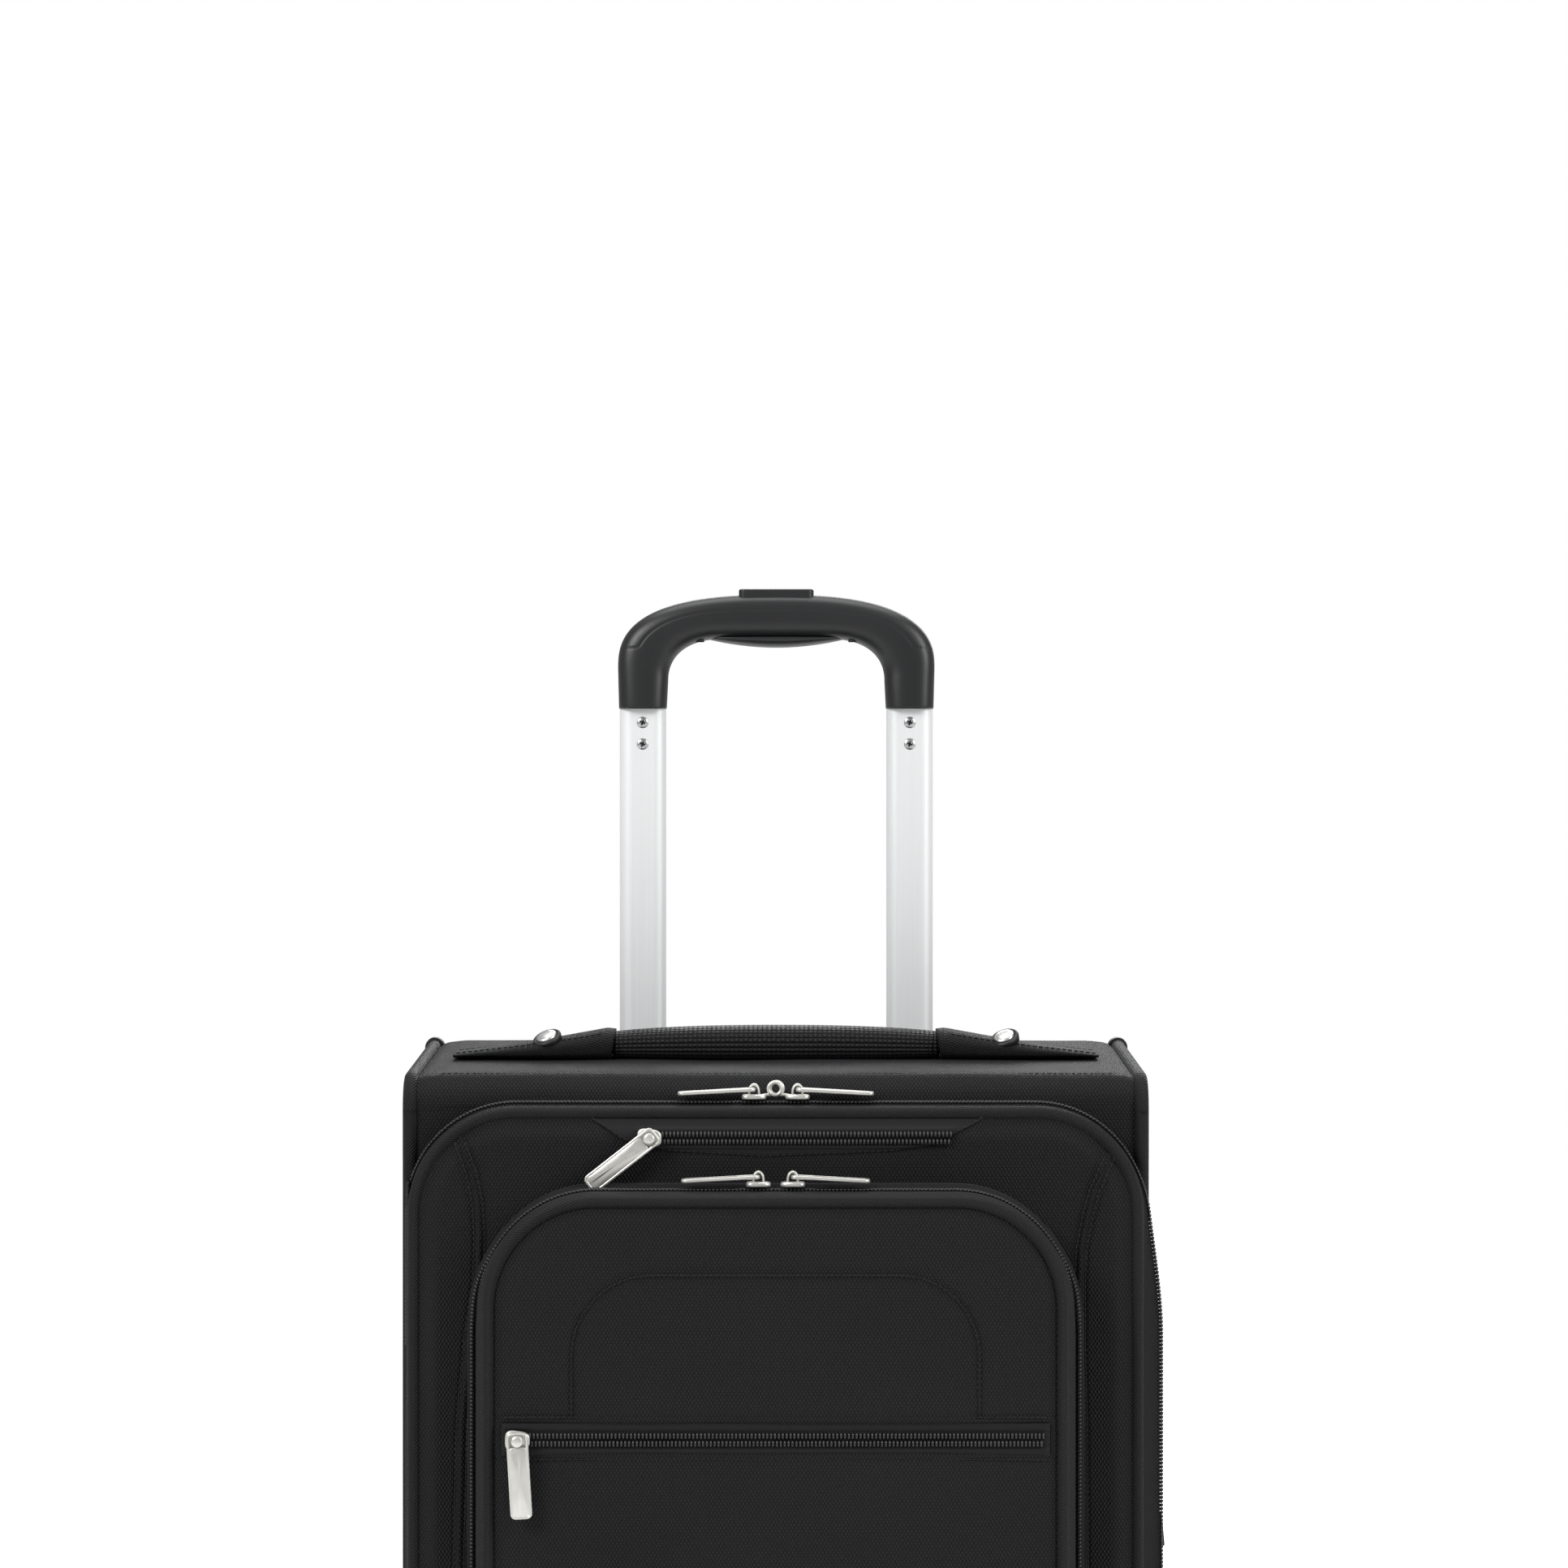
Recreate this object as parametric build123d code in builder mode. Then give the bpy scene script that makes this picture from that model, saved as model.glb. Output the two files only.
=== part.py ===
"""Softside upright suitcase, in millimetres.

+Z is up, the front with the pockets faces -Y, and +X is the right-hand side seen from the front.
The origin lies on the floor, under the centre of the suitcase's bounding box.
The lid opens like a book on its left long side, the front pocket falls forward on its bottom edge,
and the trolley handle telescopes out of a moulded cup at the top of the back.
"""

import os

from build123d import *

# ---- driving dimensions ---------------------------------------------------------------------
CASE_HALF_WIDTH = 170.0
CASE_FRONT = -74.0
CASE_BACK = 117.0
CASE_BOTTOM = 48.0
CASE_TOP = 548.0
CASE_TOP_DROP = 6.5
CASE_WALL = 4.0
CASE_SHOULDER = 14.0
CASE_REAR_RADIUS = 10.0

PIPING_RADIUS = 3.3
EDGE_PIPING_X = 168.5
EDGE_PIPING_INSET = 1.5
PANEL_INSET = 5.1

LID_HALF_WIDTH = 165.0
LID_BOTTOM = 70.4
LID_TOP = 525.6
LID_RADIUS = 46.0
FLANGE_Y = -71.0
LID_PIPING_Y = -91.0
LID_FACE_Y = -98.0
ZIP_PARTING_Y = -80.0
ZIP_START_X = -128.0
HINGE_X = -169.8
HINGE_Y = -82.0

POCKET_HALF_WIDTH = 129.5
POCKET_BOTTOM = 88.5
POCKET_TOP = 487.8
POCKET_RADIUS = 48.0
POCKET_PIPING_RADIUS = 3.0
POCKET_PIPING_Y = -124.2
POCKET_REAR_Y = -101.5

TUBE_X = 65.6
TUBE_Y = 96.0
INNER_TUBE = (22.8, 14.5)
MID_TUBE = (25.6, 17.3)
OUTER_TUBE = (28.6, 20.3)
INNER_WALL = 1.2
MID_WALL = 1.1
OUTER_WALL = 1.2
TUBE_CORNER = 0.42
INNER_BOTTOM = 339.0
MID_BOTTOM = 283.0
MID_TOP = 505.0
OUTER_BOTTOM = 84.0
CUP_FLOOR = 500.0
CUP_HALF_WIDTH = 91.0
CUP_FRONT = 81.5
CUP_BACK = 110.5
CUP_WALL = 2.0

GRIP_BOTTOM = 713.0
GRIP_CORNER_Z = 752.0
GRIP_CROWN_Z = 758.6
GRIP_WIDTH = 24.4
GRIP_DEPTH = 23.0
GRIP_EDGE = 9.5
ROD_X = 59.4
LINK_BOTTOM = 752.8
LINK_THICKNESS = 3.8
LINK_HALF_LENGTH = 61.5
CHANNEL_BOTTOM = 747.2
CHANNEL_TOP = 757.4
BUTTON_TOP = 771.8
BUTTON_BASE = LINK_BOTTOM + LINK_THICKNESS
BUTTON_TRAVEL = 3.5

WHEEL_X = 146.0
WHEEL_Y = 99.0
WHEEL_RADIUS = 31.0
WHEEL_WIDTH = 24.0
AXLE_RADIUS = 3.0
HOUSING_INNER_X = 119.0
HOUSING_OUTER_X = 172.0
HOUSING_FRONT = 62.0
HOUSING_BACK = 124.0
HOUSING_BOTTOM = 18.0
HOUSING_TOP = 112.0

CARRY_Y = 14.0
CARRY_HALF_LENGTH = 78.0
CARRY_BOTTOM = 547.5
CARRY_TOP = 562.5
RIVET_X = 108.6
STUD_Y = 30.0
STUD_HEIGHTS = (162.0, 440.0)
GRAB_Y = 20.0
GRAB_BOTTOM = 222.0
GRAB_TOP = 314.0
TAB_ROOT = 170.2
TAB_OUTER = 184.0

MAIN_SLIDER_X = 10.0
POCKET_SLIDER_X = 7.8
PULL_LENGTH = 36.0
PULL_WIDTH = 9.0

os.makedirs("parts", exist_ok=True)


def save(piece, name):
    """Labels a finished piece and writes it under its own name."""
    piece.label = name
    export_step(piece, f"parts/{name}.step")


def front_plane(y):
    """An upright plane at depth y that faces the front: its own x and y are the world's X and Z."""
    return Plane.XZ.offset(-y)


def case_outline(inset, mode=Mode.ADD):
    """Side profile of the case, in an open sketch on a YZ plane; its top slopes down to the front."""
    front, back = CASE_FRONT + inset, CASE_BACK - inset
    low, high = CASE_BOTTOM + inset, CASE_TOP - inset
    corners = [(back, low), (back, high), (front, high - CASE_TOP_DROP), (front, low)]
    rear, shoulder = CASE_REAR_RADIUS - inset, CASE_SHOULDER - inset
    with BuildLine() as profile:
        FilletPolyline(*corners, radius=[rear, rear, shoulder, shoulder], close=True)
    make_face(profile.edges(), mode=mode)


def upright_outline(half_width, low, high, radius, mode=Mode.ADD):
    """Rounded upright rectangle, in an open sketch on a front plane."""
    with Locations((0, (low + high) / 2)):
        RectangleRounded(2 * half_width, high - low, radius, mode=mode)


def lid_outline(grow, mode=Mode.ADD):
    """The lid's outline, grown past the middle of its piping."""
    half_width, radius = LID_HALF_WIDTH + grow, LID_RADIUS + grow
    upright_outline(half_width, LID_BOTTOM - grow, LID_TOP + grow, radius, mode)


def pocket_outline(grow, mode=Mode.ADD):
    """The front pocket's outline, grown past the middle of its piping."""
    half_width, radius = POCKET_HALF_WIDTH + grow, POCKET_RADIUS + grow
    upright_outline(half_width, POCKET_BOTTOM - grow, POCKET_TOP + grow, radius, mode)


def window(low_x, high_x, low_z, high_z, mode=Mode.INTERSECT):
    """A rectangle between two corners, in an open sketch; it keeps what lies inside by default."""
    with Locations(((low_x + high_x) / 2, (low_z + high_z) / 2)):
        Rectangle(high_x - low_x, high_z - low_z, mode=mode)


def block(x_range, y_range, z_range, mode=Mode.ADD):
    """A box between world limits, in an open part."""
    middle = [(low + high) / 2 for low, high in (x_range, y_range, z_range)]
    size = [high - low for low, high in (x_range, y_range, z_range)]
    with Locations(tuple(middle)):
        Box(*size, mode=mode)


def tube_outline(size, inset=0.0, mode=Mode.ADD):
    """Flat-oval tube sections at both tube positions, in an open sketch on a level plane."""
    width, depth = size[0] - 2 * inset, size[1] - 2 * inset
    with Locations((-TUBE_X, TUBE_Y), (TUBE_X, TUBE_Y)):
        RectangleRounded(width, depth, TUBE_CORNER * depth, mode=mode)


# ---- the soft case body -----------------------------------------------------------------------
CASE_BAND_X = EDGE_PIPING_X - PIPING_RADIUS
BACK_JOINT_Y = CASE_BACK - CASE_WALL - 0.2
HOUSING_GAP = 0.5
HOUSING_CUT_Y = HOUSING_FRONT - HOUSING_GAP
HOUSING_CUT_Z = HOUSING_TOP + HOUSING_GAP
HOUSING_CUT_X = HOUSING_INNER_X - HOUSING_GAP
GUSSET_LIP_Z = 527.0
FLANGE_INSET = -2.0
BOTTOM_LIP_Z = 66.0
MIDDLE_Z = (CASE_BOTTOM + CASE_TOP) / 2
FAR = 400.0


def wheel_corner_cuts():
    """Clears both lower rear corners of an open part for the wheel housings."""
    for side in (-1, 1):
        near, far = sorted((side * HOUSING_CUT_X, side * FAR))
        block((near, far), (HOUSING_CUT_Y, FAR), (0, HOUSING_CUT_Z), mode=Mode.SUBTRACT)


def front_flange(low, high):
    """The part of the flat frame round the lid opening between two heights, in an open part."""
    with BuildSketch(front_plane(FLANGE_Y)) as frame:
        window(-CASE_BAND_X, CASE_BAND_X, low, high, mode=Mode.ADD)
        lid_outline(FLANGE_INSET, mode=Mode.SUBTRACT)
    extrude(frame.sketch, amount=FLANGE_Y - CASE_FRONT)


for name, side in (("left_side_panel", -1), ("right_side_panel", 1)):
    with BuildPart() as side_panel:
        with BuildSketch(Plane.YZ.offset(side * CASE_HALF_WIDTH)):
            case_outline(PANEL_INSET)
        extrude(amount=-side * CASE_WALL)
        wheel_corner_cuts()
    save(side_panel.part, name)

with BuildPart() as back_panel:
    with BuildSketch(Plane.YZ):
        case_outline(0)
        case_outline(CASE_WALL, mode=Mode.SUBTRACT)
        window(BACK_JOINT_Y, FAR, 0, FAR * 2)
    extrude(amount=CASE_BAND_X, both=True)
    wheel_corner_cuts()
save(back_panel.part, "back_panel")

with BuildPart() as top_gusset:
    with BuildSketch(Plane.YZ):
        case_outline(0)
        case_outline(CASE_WALL, mode=Mode.SUBTRACT)
        window(-FAR, BACK_JOINT_Y, GUSSET_LIP_Z, FAR * 2)
    extrude(amount=CASE_BAND_X, both=True)
    cup_half = CUP_HALF_WIDTH + CUP_WALL
    block((-cup_half, cup_half), (CUP_FRONT - CUP_WALL, FAR), (500, 600), mode=Mode.SUBTRACT)
    front_flange(MIDDLE_Z, GUSSET_LIP_Z)
save(top_gusset.part, "top_gusset")

with BuildPart() as bottom_panel:
    with BuildSketch(Plane.YZ):
        case_outline(0)
        case_outline(CASE_WALL, mode=Mode.SUBTRACT)
        window(-FAR, BACK_JOINT_Y, 0, BOTTOM_LIP_Z)
    extrude(amount=CASE_BAND_X, both=True)
    wheel_corner_cuts()
    front_flange(BOTTOM_LIP_Z, MIDDLE_Z)
save(bottom_panel.part, "bottom_panel")

# Piping runs round each side panel, from the top of the wheel housing to its front.
with BuildPart() as edge_piping:
    inset = EDGE_PIPING_INSET
    front, back = CASE_FRONT + inset, CASE_BACK - inset
    low, high = CASE_BOTTOM + inset, CASE_TOP - inset
    route = [
        (back, HOUSING_CUT_Z),
        (back, high),
        (front, high - CASE_TOP_DROP),
        (front, low),
        (HOUSING_CUT_Y, low),
    ]
    rear, shoulder = CASE_REAR_RADIUS - inset, CASE_SHOULDER - inset
    with BuildLine(Plane.YZ.offset(EDGE_PIPING_X)) as piping_path:
        FilletPolyline(*route, radius=[rear, shoulder, shoulder])
    with BuildSketch(piping_path.line ^ 0):
        Circle(PIPING_RADIUS)
    sweep(path=piping_path.line)
    mirror(about=Plane.YZ)
save(edge_piping.part, "edge_piping")

# Moulded saddles clip over the piping at the upper rear corners.
GUARD_RADIUS = 4.8
GUARD_REACH = 14.0
with BuildPart() as corner_guards:
    high = CASE_TOP - EDGE_PIPING_INSET
    back = CASE_BACK - EDGE_PIPING_INSET
    with BuildLine(Plane.YZ.offset(EDGE_PIPING_X)) as guard_path:
        FilletPolyline(
            (back, high - GUARD_REACH),
            (back, high),
            (back - GUARD_REACH, high - GUARD_REACH * CASE_TOP_DROP / (CASE_BACK - CASE_FRONT)),
            radius=CASE_REAR_RADIUS - EDGE_PIPING_INSET,
        )
    with BuildSketch(guard_path.line ^ 0):
        Circle(GUARD_RADIUS)
        Circle(PIPING_RADIUS, mode=Mode.SUBTRACT)
    sweep(path=guard_path.line)
    with BuildSketch(Plane.YZ):
        case_outline(0)
    extrude(amount=CASE_HALF_WIDTH, mode=Mode.SUBTRACT)
    mirror(about=Plane.YZ)
save(corner_guards.part, "corner_guards")

# ---- chassis: cup, fixed tubes, foot, kick plate, feet and wheel housings -----------------------
COLLAR_TOP = CUP_FLOOR + 3.0
FLOOR_GAP = 0.4
with BuildPart() as handle_cup:
    cup_half = CUP_HALF_WIDTH + CUP_WALL
    cup_bottom = CUP_FLOOR - 3.0
    block((-cup_half, cup_half), (CUP_FRONT - CUP_WALL, CUP_BACK + CUP_WALL), (cup_bottom, CASE_TOP))
    block((-cup_half - 4, cup_half + 4), (CUP_FRONT - 6, CUP_BACK + 4.5), (CASE_TOP, CASE_TOP + 2))
    block(
        (-CUP_HALF_WIDTH, CUP_HALF_WIDTH),
        (CUP_FRONT, CUP_BACK),
        (CUP_FLOOR, CASE_TOP + 2),
        mode=Mode.SUBTRACT,
    )
    with BuildSketch(Plane.XY.offset(cup_bottom)):
        tube_outline(MID_TUBE, -FLOOR_GAP)
    extrude(amount=CUP_FLOOR - cup_bottom, mode=Mode.SUBTRACT)
    fillet(handle_cup.edges().filter_by(Axis.Z).group_by(Axis.Z)[-1], 3.5)
    with BuildSketch(Plane.XY.offset(CUP_FLOOR)):
        tube_outline((36.0, 25.0))
        tube_outline(MID_TUBE, -FLOOR_GAP, mode=Mode.SUBTRACT)
    extrude(amount=COLLAR_TOP - CUP_FLOOR)
save(handle_cup.part, "handle_cup")

with BuildPart() as outer_tubes:
    with BuildSketch(Plane.XY.offset(OUTER_BOTTOM)):
        tube_outline(OUTER_TUBE)
        tube_outline(OUTER_TUBE, OUTER_WALL, mode=Mode.SUBTRACT)
    extrude(amount=CUP_FLOOR - 3.0 - OUTER_BOTTOM)
save(outer_tubes.part, "outer_tubes")

FOOT_HALF_WIDTH = 117.0
with BuildPart() as tube_foot:
    block((-FOOT_HALF_WIDTH, FOOT_HALF_WIDTH), (84, 111), (OUTER_BOTTOM - 5, OUTER_BOTTOM))
    for side in (-1, 1):
        near, far = sorted((side * 96.0, side * FOOT_HALF_WIDTH))
        block((near, far), (84, 106), (CASE_BOTTOM + CASE_WALL, OUTER_BOTTOM - 5))
    with BuildSketch(Plane.XY.offset(OUTER_BOTTOM)):
        tube_outline((34.0, 25.0))
        tube_outline(OUTER_TUBE, mode=Mode.SUBTRACT)
    extrude(amount=14)
save(tube_foot.part, "tube_foot")

COVER_TOP = CUP_FLOOR - 4.0
COVER_BOTTOM = 100.0
with BuildPart() as tube_cover:
    block((-100, 100), (78, BACK_JOINT_Y), (COVER_BOTTOM, COVER_TOP))
    block((-98.5, 98.5), (79.5, BACK_JOINT_Y), (COVER_BOTTOM, COVER_TOP), mode=Mode.SUBTRACT)
    fillet(tube_cover.edges().filter_by(Axis.Z).group_by(Axis.Y)[0], 3)
save(tube_cover.part, "tube_cover")

KICK_THICKNESS = 2.5
KICK_HALF_WIDTH = 160.0
with BuildPart() as kick_plate:
    with BuildSketch(Plane.YZ):
        case_outline(-KICK_THICKNESS)
        case_outline(0, mode=Mode.SUBTRACT)
        window(-FAR, -12, 0, 60)
    extrude(amount=KICK_HALF_WIDTH, both=True)
save(kick_plate.part, "kick_plate")

FOOT_X = 118.0
with BuildPart() as front_feet:
    foot_top = CASE_BOTTOM - KICK_THICKNESS
    for side in (-1, 1):
        with BuildSketch(Plane.XY):
            with Locations((side * FOOT_X, -44)):
                RectangleRounded(34, 20, 6)
        with BuildSketch(Plane.XY.offset(foot_top)):
            with Locations((side * FOOT_X, -42)):
                RectangleRounded(46, 34, 8)
        loft()
save(front_feet.part, "front_feet")

WELL_RADIUS = WHEEL_RADIUS + 4.0
WELL_HALF_WIDTH = WHEEL_WIDTH / 2 + 2.5
with BuildPart() as wheel_housings:
    with BuildSketch(Plane.YZ.offset(HOUSING_INNER_X)):
        with BuildLine():
            FilletPolyline(
                (HOUSING_FRONT, CASE_BOTTOM - 4),
                (HOUSING_FRONT + 22, HOUSING_BOTTOM),
                (HOUSING_BACK - 12, HOUSING_BOTTOM),
                (HOUSING_BACK, HOUSING_BOTTOM + 22),
                (HOUSING_BACK, HOUSING_TOP),
                (HOUSING_FRONT, HOUSING_TOP),
                radius=[8, 8, 8, 8, 10, 3],
                close=True,
            )
        make_face()
    extrude(amount=HOUSING_OUTER_X - HOUSING_INNER_X)
    block((123, 168), (66, 113), (76, HOUSING_TOP), mode=Mode.SUBTRACT)
    well_x = WHEEL_X - WELL_HALF_WIDTH
    with BuildSketch(Plane.YZ.offset(well_x)):
        with Locations((WHEEL_Y, WHEEL_RADIUS)):
            Circle(WELL_RADIUS)
        window(WHEEL_Y - WELL_RADIUS, WHEEL_Y + WELL_RADIUS, -10, WHEEL_RADIUS, mode=Mode.ADD)
    extrude(amount=2 * WELL_HALF_WIDTH, mode=Mode.SUBTRACT)
    with BuildSketch(Plane.YZ.offset(HOUSING_INNER_X + 3)):
        with Locations((WHEEL_Y, WHEEL_RADIUS)):
            Circle(AXLE_RADIUS)
    extrude(amount=HOUSING_OUTER_X - HOUSING_INNER_X, mode=Mode.SUBTRACT)
    mirror(about=Plane.YZ)
save(wheel_housings.part, "wheel_housings")

with BuildPart() as wheel_axles:
    with BuildSketch(Plane.YZ.offset(HOUSING_INNER_X + 3)):
        with Locations((WHEEL_Y, WHEEL_RADIUS)):
            Circle(AXLE_RADIUS)
    extrude(amount=HOUSING_OUTER_X - HOUSING_INNER_X - 3)
    with BuildSketch(Plane.YZ.offset(HOUSING_OUTER_X)):
        with Locations((WHEEL_Y, WHEEL_RADIUS)):
            Circle(5.5)
    extrude(amount=1.6)
    mirror(about=Plane.YZ)
save(wheel_axles.part, "wheel_axles")

# ---- wheels: a rubber tyre on a spoked hub that turns on the fixed axle -------------------------
HUB_RADIUS = 22.0
AXLE_CLEARANCE = 0.06
for name, side in (("left", -1), ("right", 1)):
    wheel_plane = Plane.YZ.offset(side * WHEEL_X - WHEEL_WIDTH / 2)
    with BuildPart() as tyre:
        with BuildSketch(wheel_plane):
            with Locations((WHEEL_Y, WHEEL_RADIUS)):
                Circle(WHEEL_RADIUS)
                Circle(HUB_RADIUS, mode=Mode.SUBTRACT)
        extrude(amount=WHEEL_WIDTH)
        fillet(tyre.edges().group_by(SortBy.LENGTH)[-1], 4)
    save(tyre.part, f"{name}_tyre")
    with BuildPart() as hub:
        with BuildSketch(wheel_plane.offset(1)):
            with Locations((WHEEL_Y, WHEEL_RADIUS)):
                Circle(HUB_RADIUS)
        extrude(amount=WHEEL_WIDTH - 2)
        for hub_face in (wheel_plane.offset(1), wheel_plane.offset(WHEEL_WIDTH - 8)):
            with BuildSketch(hub_face):
                with Locations((WHEEL_Y, WHEEL_RADIUS)):
                    Circle(HUB_RADIUS - 2.5)
                    Circle(8, mode=Mode.SUBTRACT)
            extrude(amount=7, mode=Mode.SUBTRACT)
        with BuildSketch(wheel_plane):
            with Locations((WHEEL_Y, WHEEL_RADIUS)):
                Circle(AXLE_RADIUS + AXLE_CLEARANCE)
        extrude(amount=WHEEL_WIDTH, mode=Mode.SUBTRACT)
    save(hub.part, f"{name}_hub")

# ---- rivets, carry handle on top, grab strap on the right side, studs on the left ---------------
TAB_END_X = 152.0
TAB_HALF_DEPTH = 17.0
def tab_outline(side):
    """Side view of one fabric tab of the carry handle, in an open sketch on a front plane."""
    points = [
        (CARRY_HALF_LENGTH + 0.6, 545.8),
        (CARRY_HALF_LENGTH + 0.6, 560),
        (RIVET_X, 553.5),
        (TAB_END_X, 548.6),
        (TAB_END_X, 545.8),
    ]
    with BuildLine() as profile:
        Polyline([(side * x, z) for x, z in points], close=True)
    make_face(profile.edges())


with BuildPart() as carry_tabs:
    for side in (-1, 1):
        with BuildSketch(front_plane(CARRY_Y + TAB_HALF_DEPTH)):
            tab_outline(side)
        extrude(amount=2 * TAB_HALF_DEPTH)
save(carry_tabs.part, "carry_tabs")

with BuildPart() as carry_pad:
    with BuildSketch(Plane.YZ.offset(-CARRY_HALF_LENGTH)):
        with Locations((CARRY_Y, (CARRY_BOTTOM + CARRY_TOP) / 2)):
            RectangleRounded(30, CARRY_TOP - CARRY_BOTTOM, 6)
    extrude(amount=2 * CARRY_HALF_LENGTH)
save(carry_pad.part, "carry_pad")

with BuildPart() as grab_tabs:
    for near, far in ((GRAB_TOP + 1, GRAB_TOP + 40), (GRAB_BOTTOM - 1, GRAB_BOTTOM - 40)):
        with BuildSketch(front_plane(GRAB_Y + 16)):
            with BuildLine():
                shoulder_z = (2 * near + far) / 3
                Polyline(
                    (TAB_ROOT, near),
                    (TAB_OUTER, near),
                    (TAB_OUTER, shoulder_z),
                    (TAB_ROOT + 2.3, far),
                    (TAB_ROOT, far),
                    close=True,
                )
            make_face()
        extrude(amount=32)
save(grab_tabs.part, "grab_tabs")

with BuildPart() as grab_strap:
    block((TAB_OUTER - 6.5, TAB_OUTER), (GRAB_Y - 14, GRAB_Y + 14), (GRAB_BOTTOM, GRAB_TOP))
save(grab_strap.part, "grab_strap")


def rivet_stack(plane, radii, height):
    """Adds an oval button of the given half-lengths standing on a plane, in an open part."""
    with BuildSketch(plane) as oval:
        Ellipse(*radii)
    extrude(oval.sketch, amount=height)


BASE_RADII = (8.5, 7.5)
CAP_RADII = (5.4, 4.6)
rivet_planes = [Plane((side * RIVET_X, CARRY_Y, 556.0)) for side in (-1, 1)]
rivet_planes += [Plane((-171.8, STUD_Y, z), x_dir=(0, 0, 1), z_dir=(-1, 0, 0)) for z in STUD_HEIGHTS]

with BuildPart() as rivet_bases:
    for plane in rivet_planes:
        rivet_stack(plane.offset(-1.8), BASE_RADII, 3.3)
    for side in (-1, 1):
        with BuildSketch(front_plane(CARRY_Y + TAB_HALF_DEPTH)):
            tab_outline(side)
        extrude(amount=2 * TAB_HALF_DEPTH, mode=Mode.SUBTRACT)
save(rivet_bases.part, "rivet_bases")

with BuildPart() as rivet_caps:
    for plane in rivet_planes:
        rivet_stack(plane.offset(1.5), CAP_RADII, 3.5)
save(rivet_caps.part, "rivet_caps")

# ---- packing straps inside the compartment -------------------------------------------------------
STRAP_Z = 310.0
with BuildPart() as packing_straps:
    for side in (-1, 1):
        near, far = sorted((side * 2.0, side * (CASE_HALF_WIDTH - CASE_WALL)))
        block((near, far), (75.5, 77), (STRAP_Z - 14, STRAP_Z + 14))
save(packing_straps.part, "packing_straps")

# ---- the lid ------------------------------------------------------------------------------------
with BuildPart() as lid_panel:
    with BuildSketch(front_plane(-92)):
        lid_outline(-PIPING_RADIUS - 0.1)
    extrude(amount=-92 - LID_FACE_Y)
save(lid_panel.part, "lid_panel")

with BuildPart() as lid_rim:
    with BuildSketch(front_plane(-81)):
        lid_outline(2)
        lid_outline(-0.8, mode=Mode.SUBTRACT)
    extrude(amount=6.6)
save(lid_rim.part, "lid_rim")


def piping_loop(half_width, low, high, radius, y):
    """A closed rounded-rectangle path for piping, on a front plane."""
    with BuildLine(front_plane(y)) as loop:
        corners = [(half_width, low), (half_width, high), (-half_width, high), (-half_width, low)]
        FilletPolyline(*corners, radius=radius, close=True)
    return loop.line


with BuildPart() as lid_piping:
    loop = piping_loop(LID_HALF_WIDTH, LID_BOTTOM, LID_TOP, LID_RADIUS, LID_PIPING_Y)
    with BuildSketch(loop ^ 0):
        Circle(PIPING_RADIUS)
    sweep(path=loop)
save(lid_piping.part, "lid_piping")


def main_zip_half(rear_y, depth, coil_rear_y, coil_depth):
    """One half of the main zip: a flat tape round three sides with half of the coil on its edge."""
    with BuildPart() as half:
        for inner, outer, start, reach in ((2.1, 4.0, rear_y, depth), (4.0, 5.2, coil_rear_y, coil_depth)):
            with BuildSketch(front_plane(start)):
                lid_outline(outer)
                lid_outline(inner, mode=Mode.SUBTRACT)
                window(ZIP_START_X, FAR, 0, FAR * 2)
            extrude(amount=reach)
    return half.part


save(main_zip_half(ZIP_PARTING_Y - 0.2, 6.8, ZIP_PARTING_Y - 0.2, 2.4), "main_zip_lid")
save(main_zip_half(-76.2, 3.6, ZIP_PARTING_Y + 2.6, 2.4), "main_zip_body")

with BuildPart() as hinge_strip:
    block((-170.5, -169.1), (-84, -76.3), (110, 486))
save(hinge_strip.part, "hinge_strip")

QUICK_ZIP_Z = 514.7
with BuildPart() as quick_zip:
    with BuildSketch(front_plane(LID_FACE_Y)):
        window(-70, 88, QUICK_ZIP_Z - 7, QUICK_ZIP_Z + 7, mode=Mode.ADD)
    extrude(amount=1.5)
save(quick_zip.part, "quick_zip")

with BuildPart() as pocket_zip_lid:
    with BuildSketch(front_plane(LID_FACE_Y)):
        pocket_outline(9)
        pocket_outline(5.5, mode=Mode.SUBTRACT)
        window(-FAR, FAR, POCKET_BOTTOM + 10, FAR * 2)
    extrude(amount=1.5)
save(pocket_zip_lid.part, "pocket_zip_lid")

# ---- the front pocket, a flap with walls -----------------------------------------------------------
with BuildPart() as pocket_gusset:
    with BuildSketch(front_plane(POCKET_REAR_Y)):
        pocket_outline(3.2)
        pocket_outline(0.7, mode=Mode.SUBTRACT)
    extrude(amount=POCKET_REAR_Y - POCKET_PIPING_Y - POCKET_PIPING_RADIUS)
save(pocket_gusset.part, "pocket_gusset")

with BuildPart() as pocket_piping:
    loop = piping_loop(POCKET_HALF_WIDTH, POCKET_BOTTOM, POCKET_TOP, POCKET_RADIUS, POCKET_PIPING_Y)
    with BuildSketch(loop ^ 0):
        Circle(POCKET_PIPING_RADIUS)
    sweep(path=loop)
save(pocket_piping.part, "pocket_piping")

POCKET_FACE_Y = -128.0
with BuildPart() as pocket_front:
    with BuildSketch(front_plane(POCKET_FACE_Y + 5)):
        pocket_outline(-POCKET_PIPING_RADIUS - 0.1)
    extrude(amount=5)
save(pocket_front.part, "pocket_front")

PANEL_ZIP_Z = 381.0
with BuildPart() as panel_zip:
    with BuildSketch(front_plane(POCKET_FACE_Y)):
        window(-123, 123, PANEL_ZIP_Z - 8, PANEL_ZIP_Z + 8, mode=Mode.ADD)
    extrude(amount=1.5)
save(panel_zip.part, "panel_zip")

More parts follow.
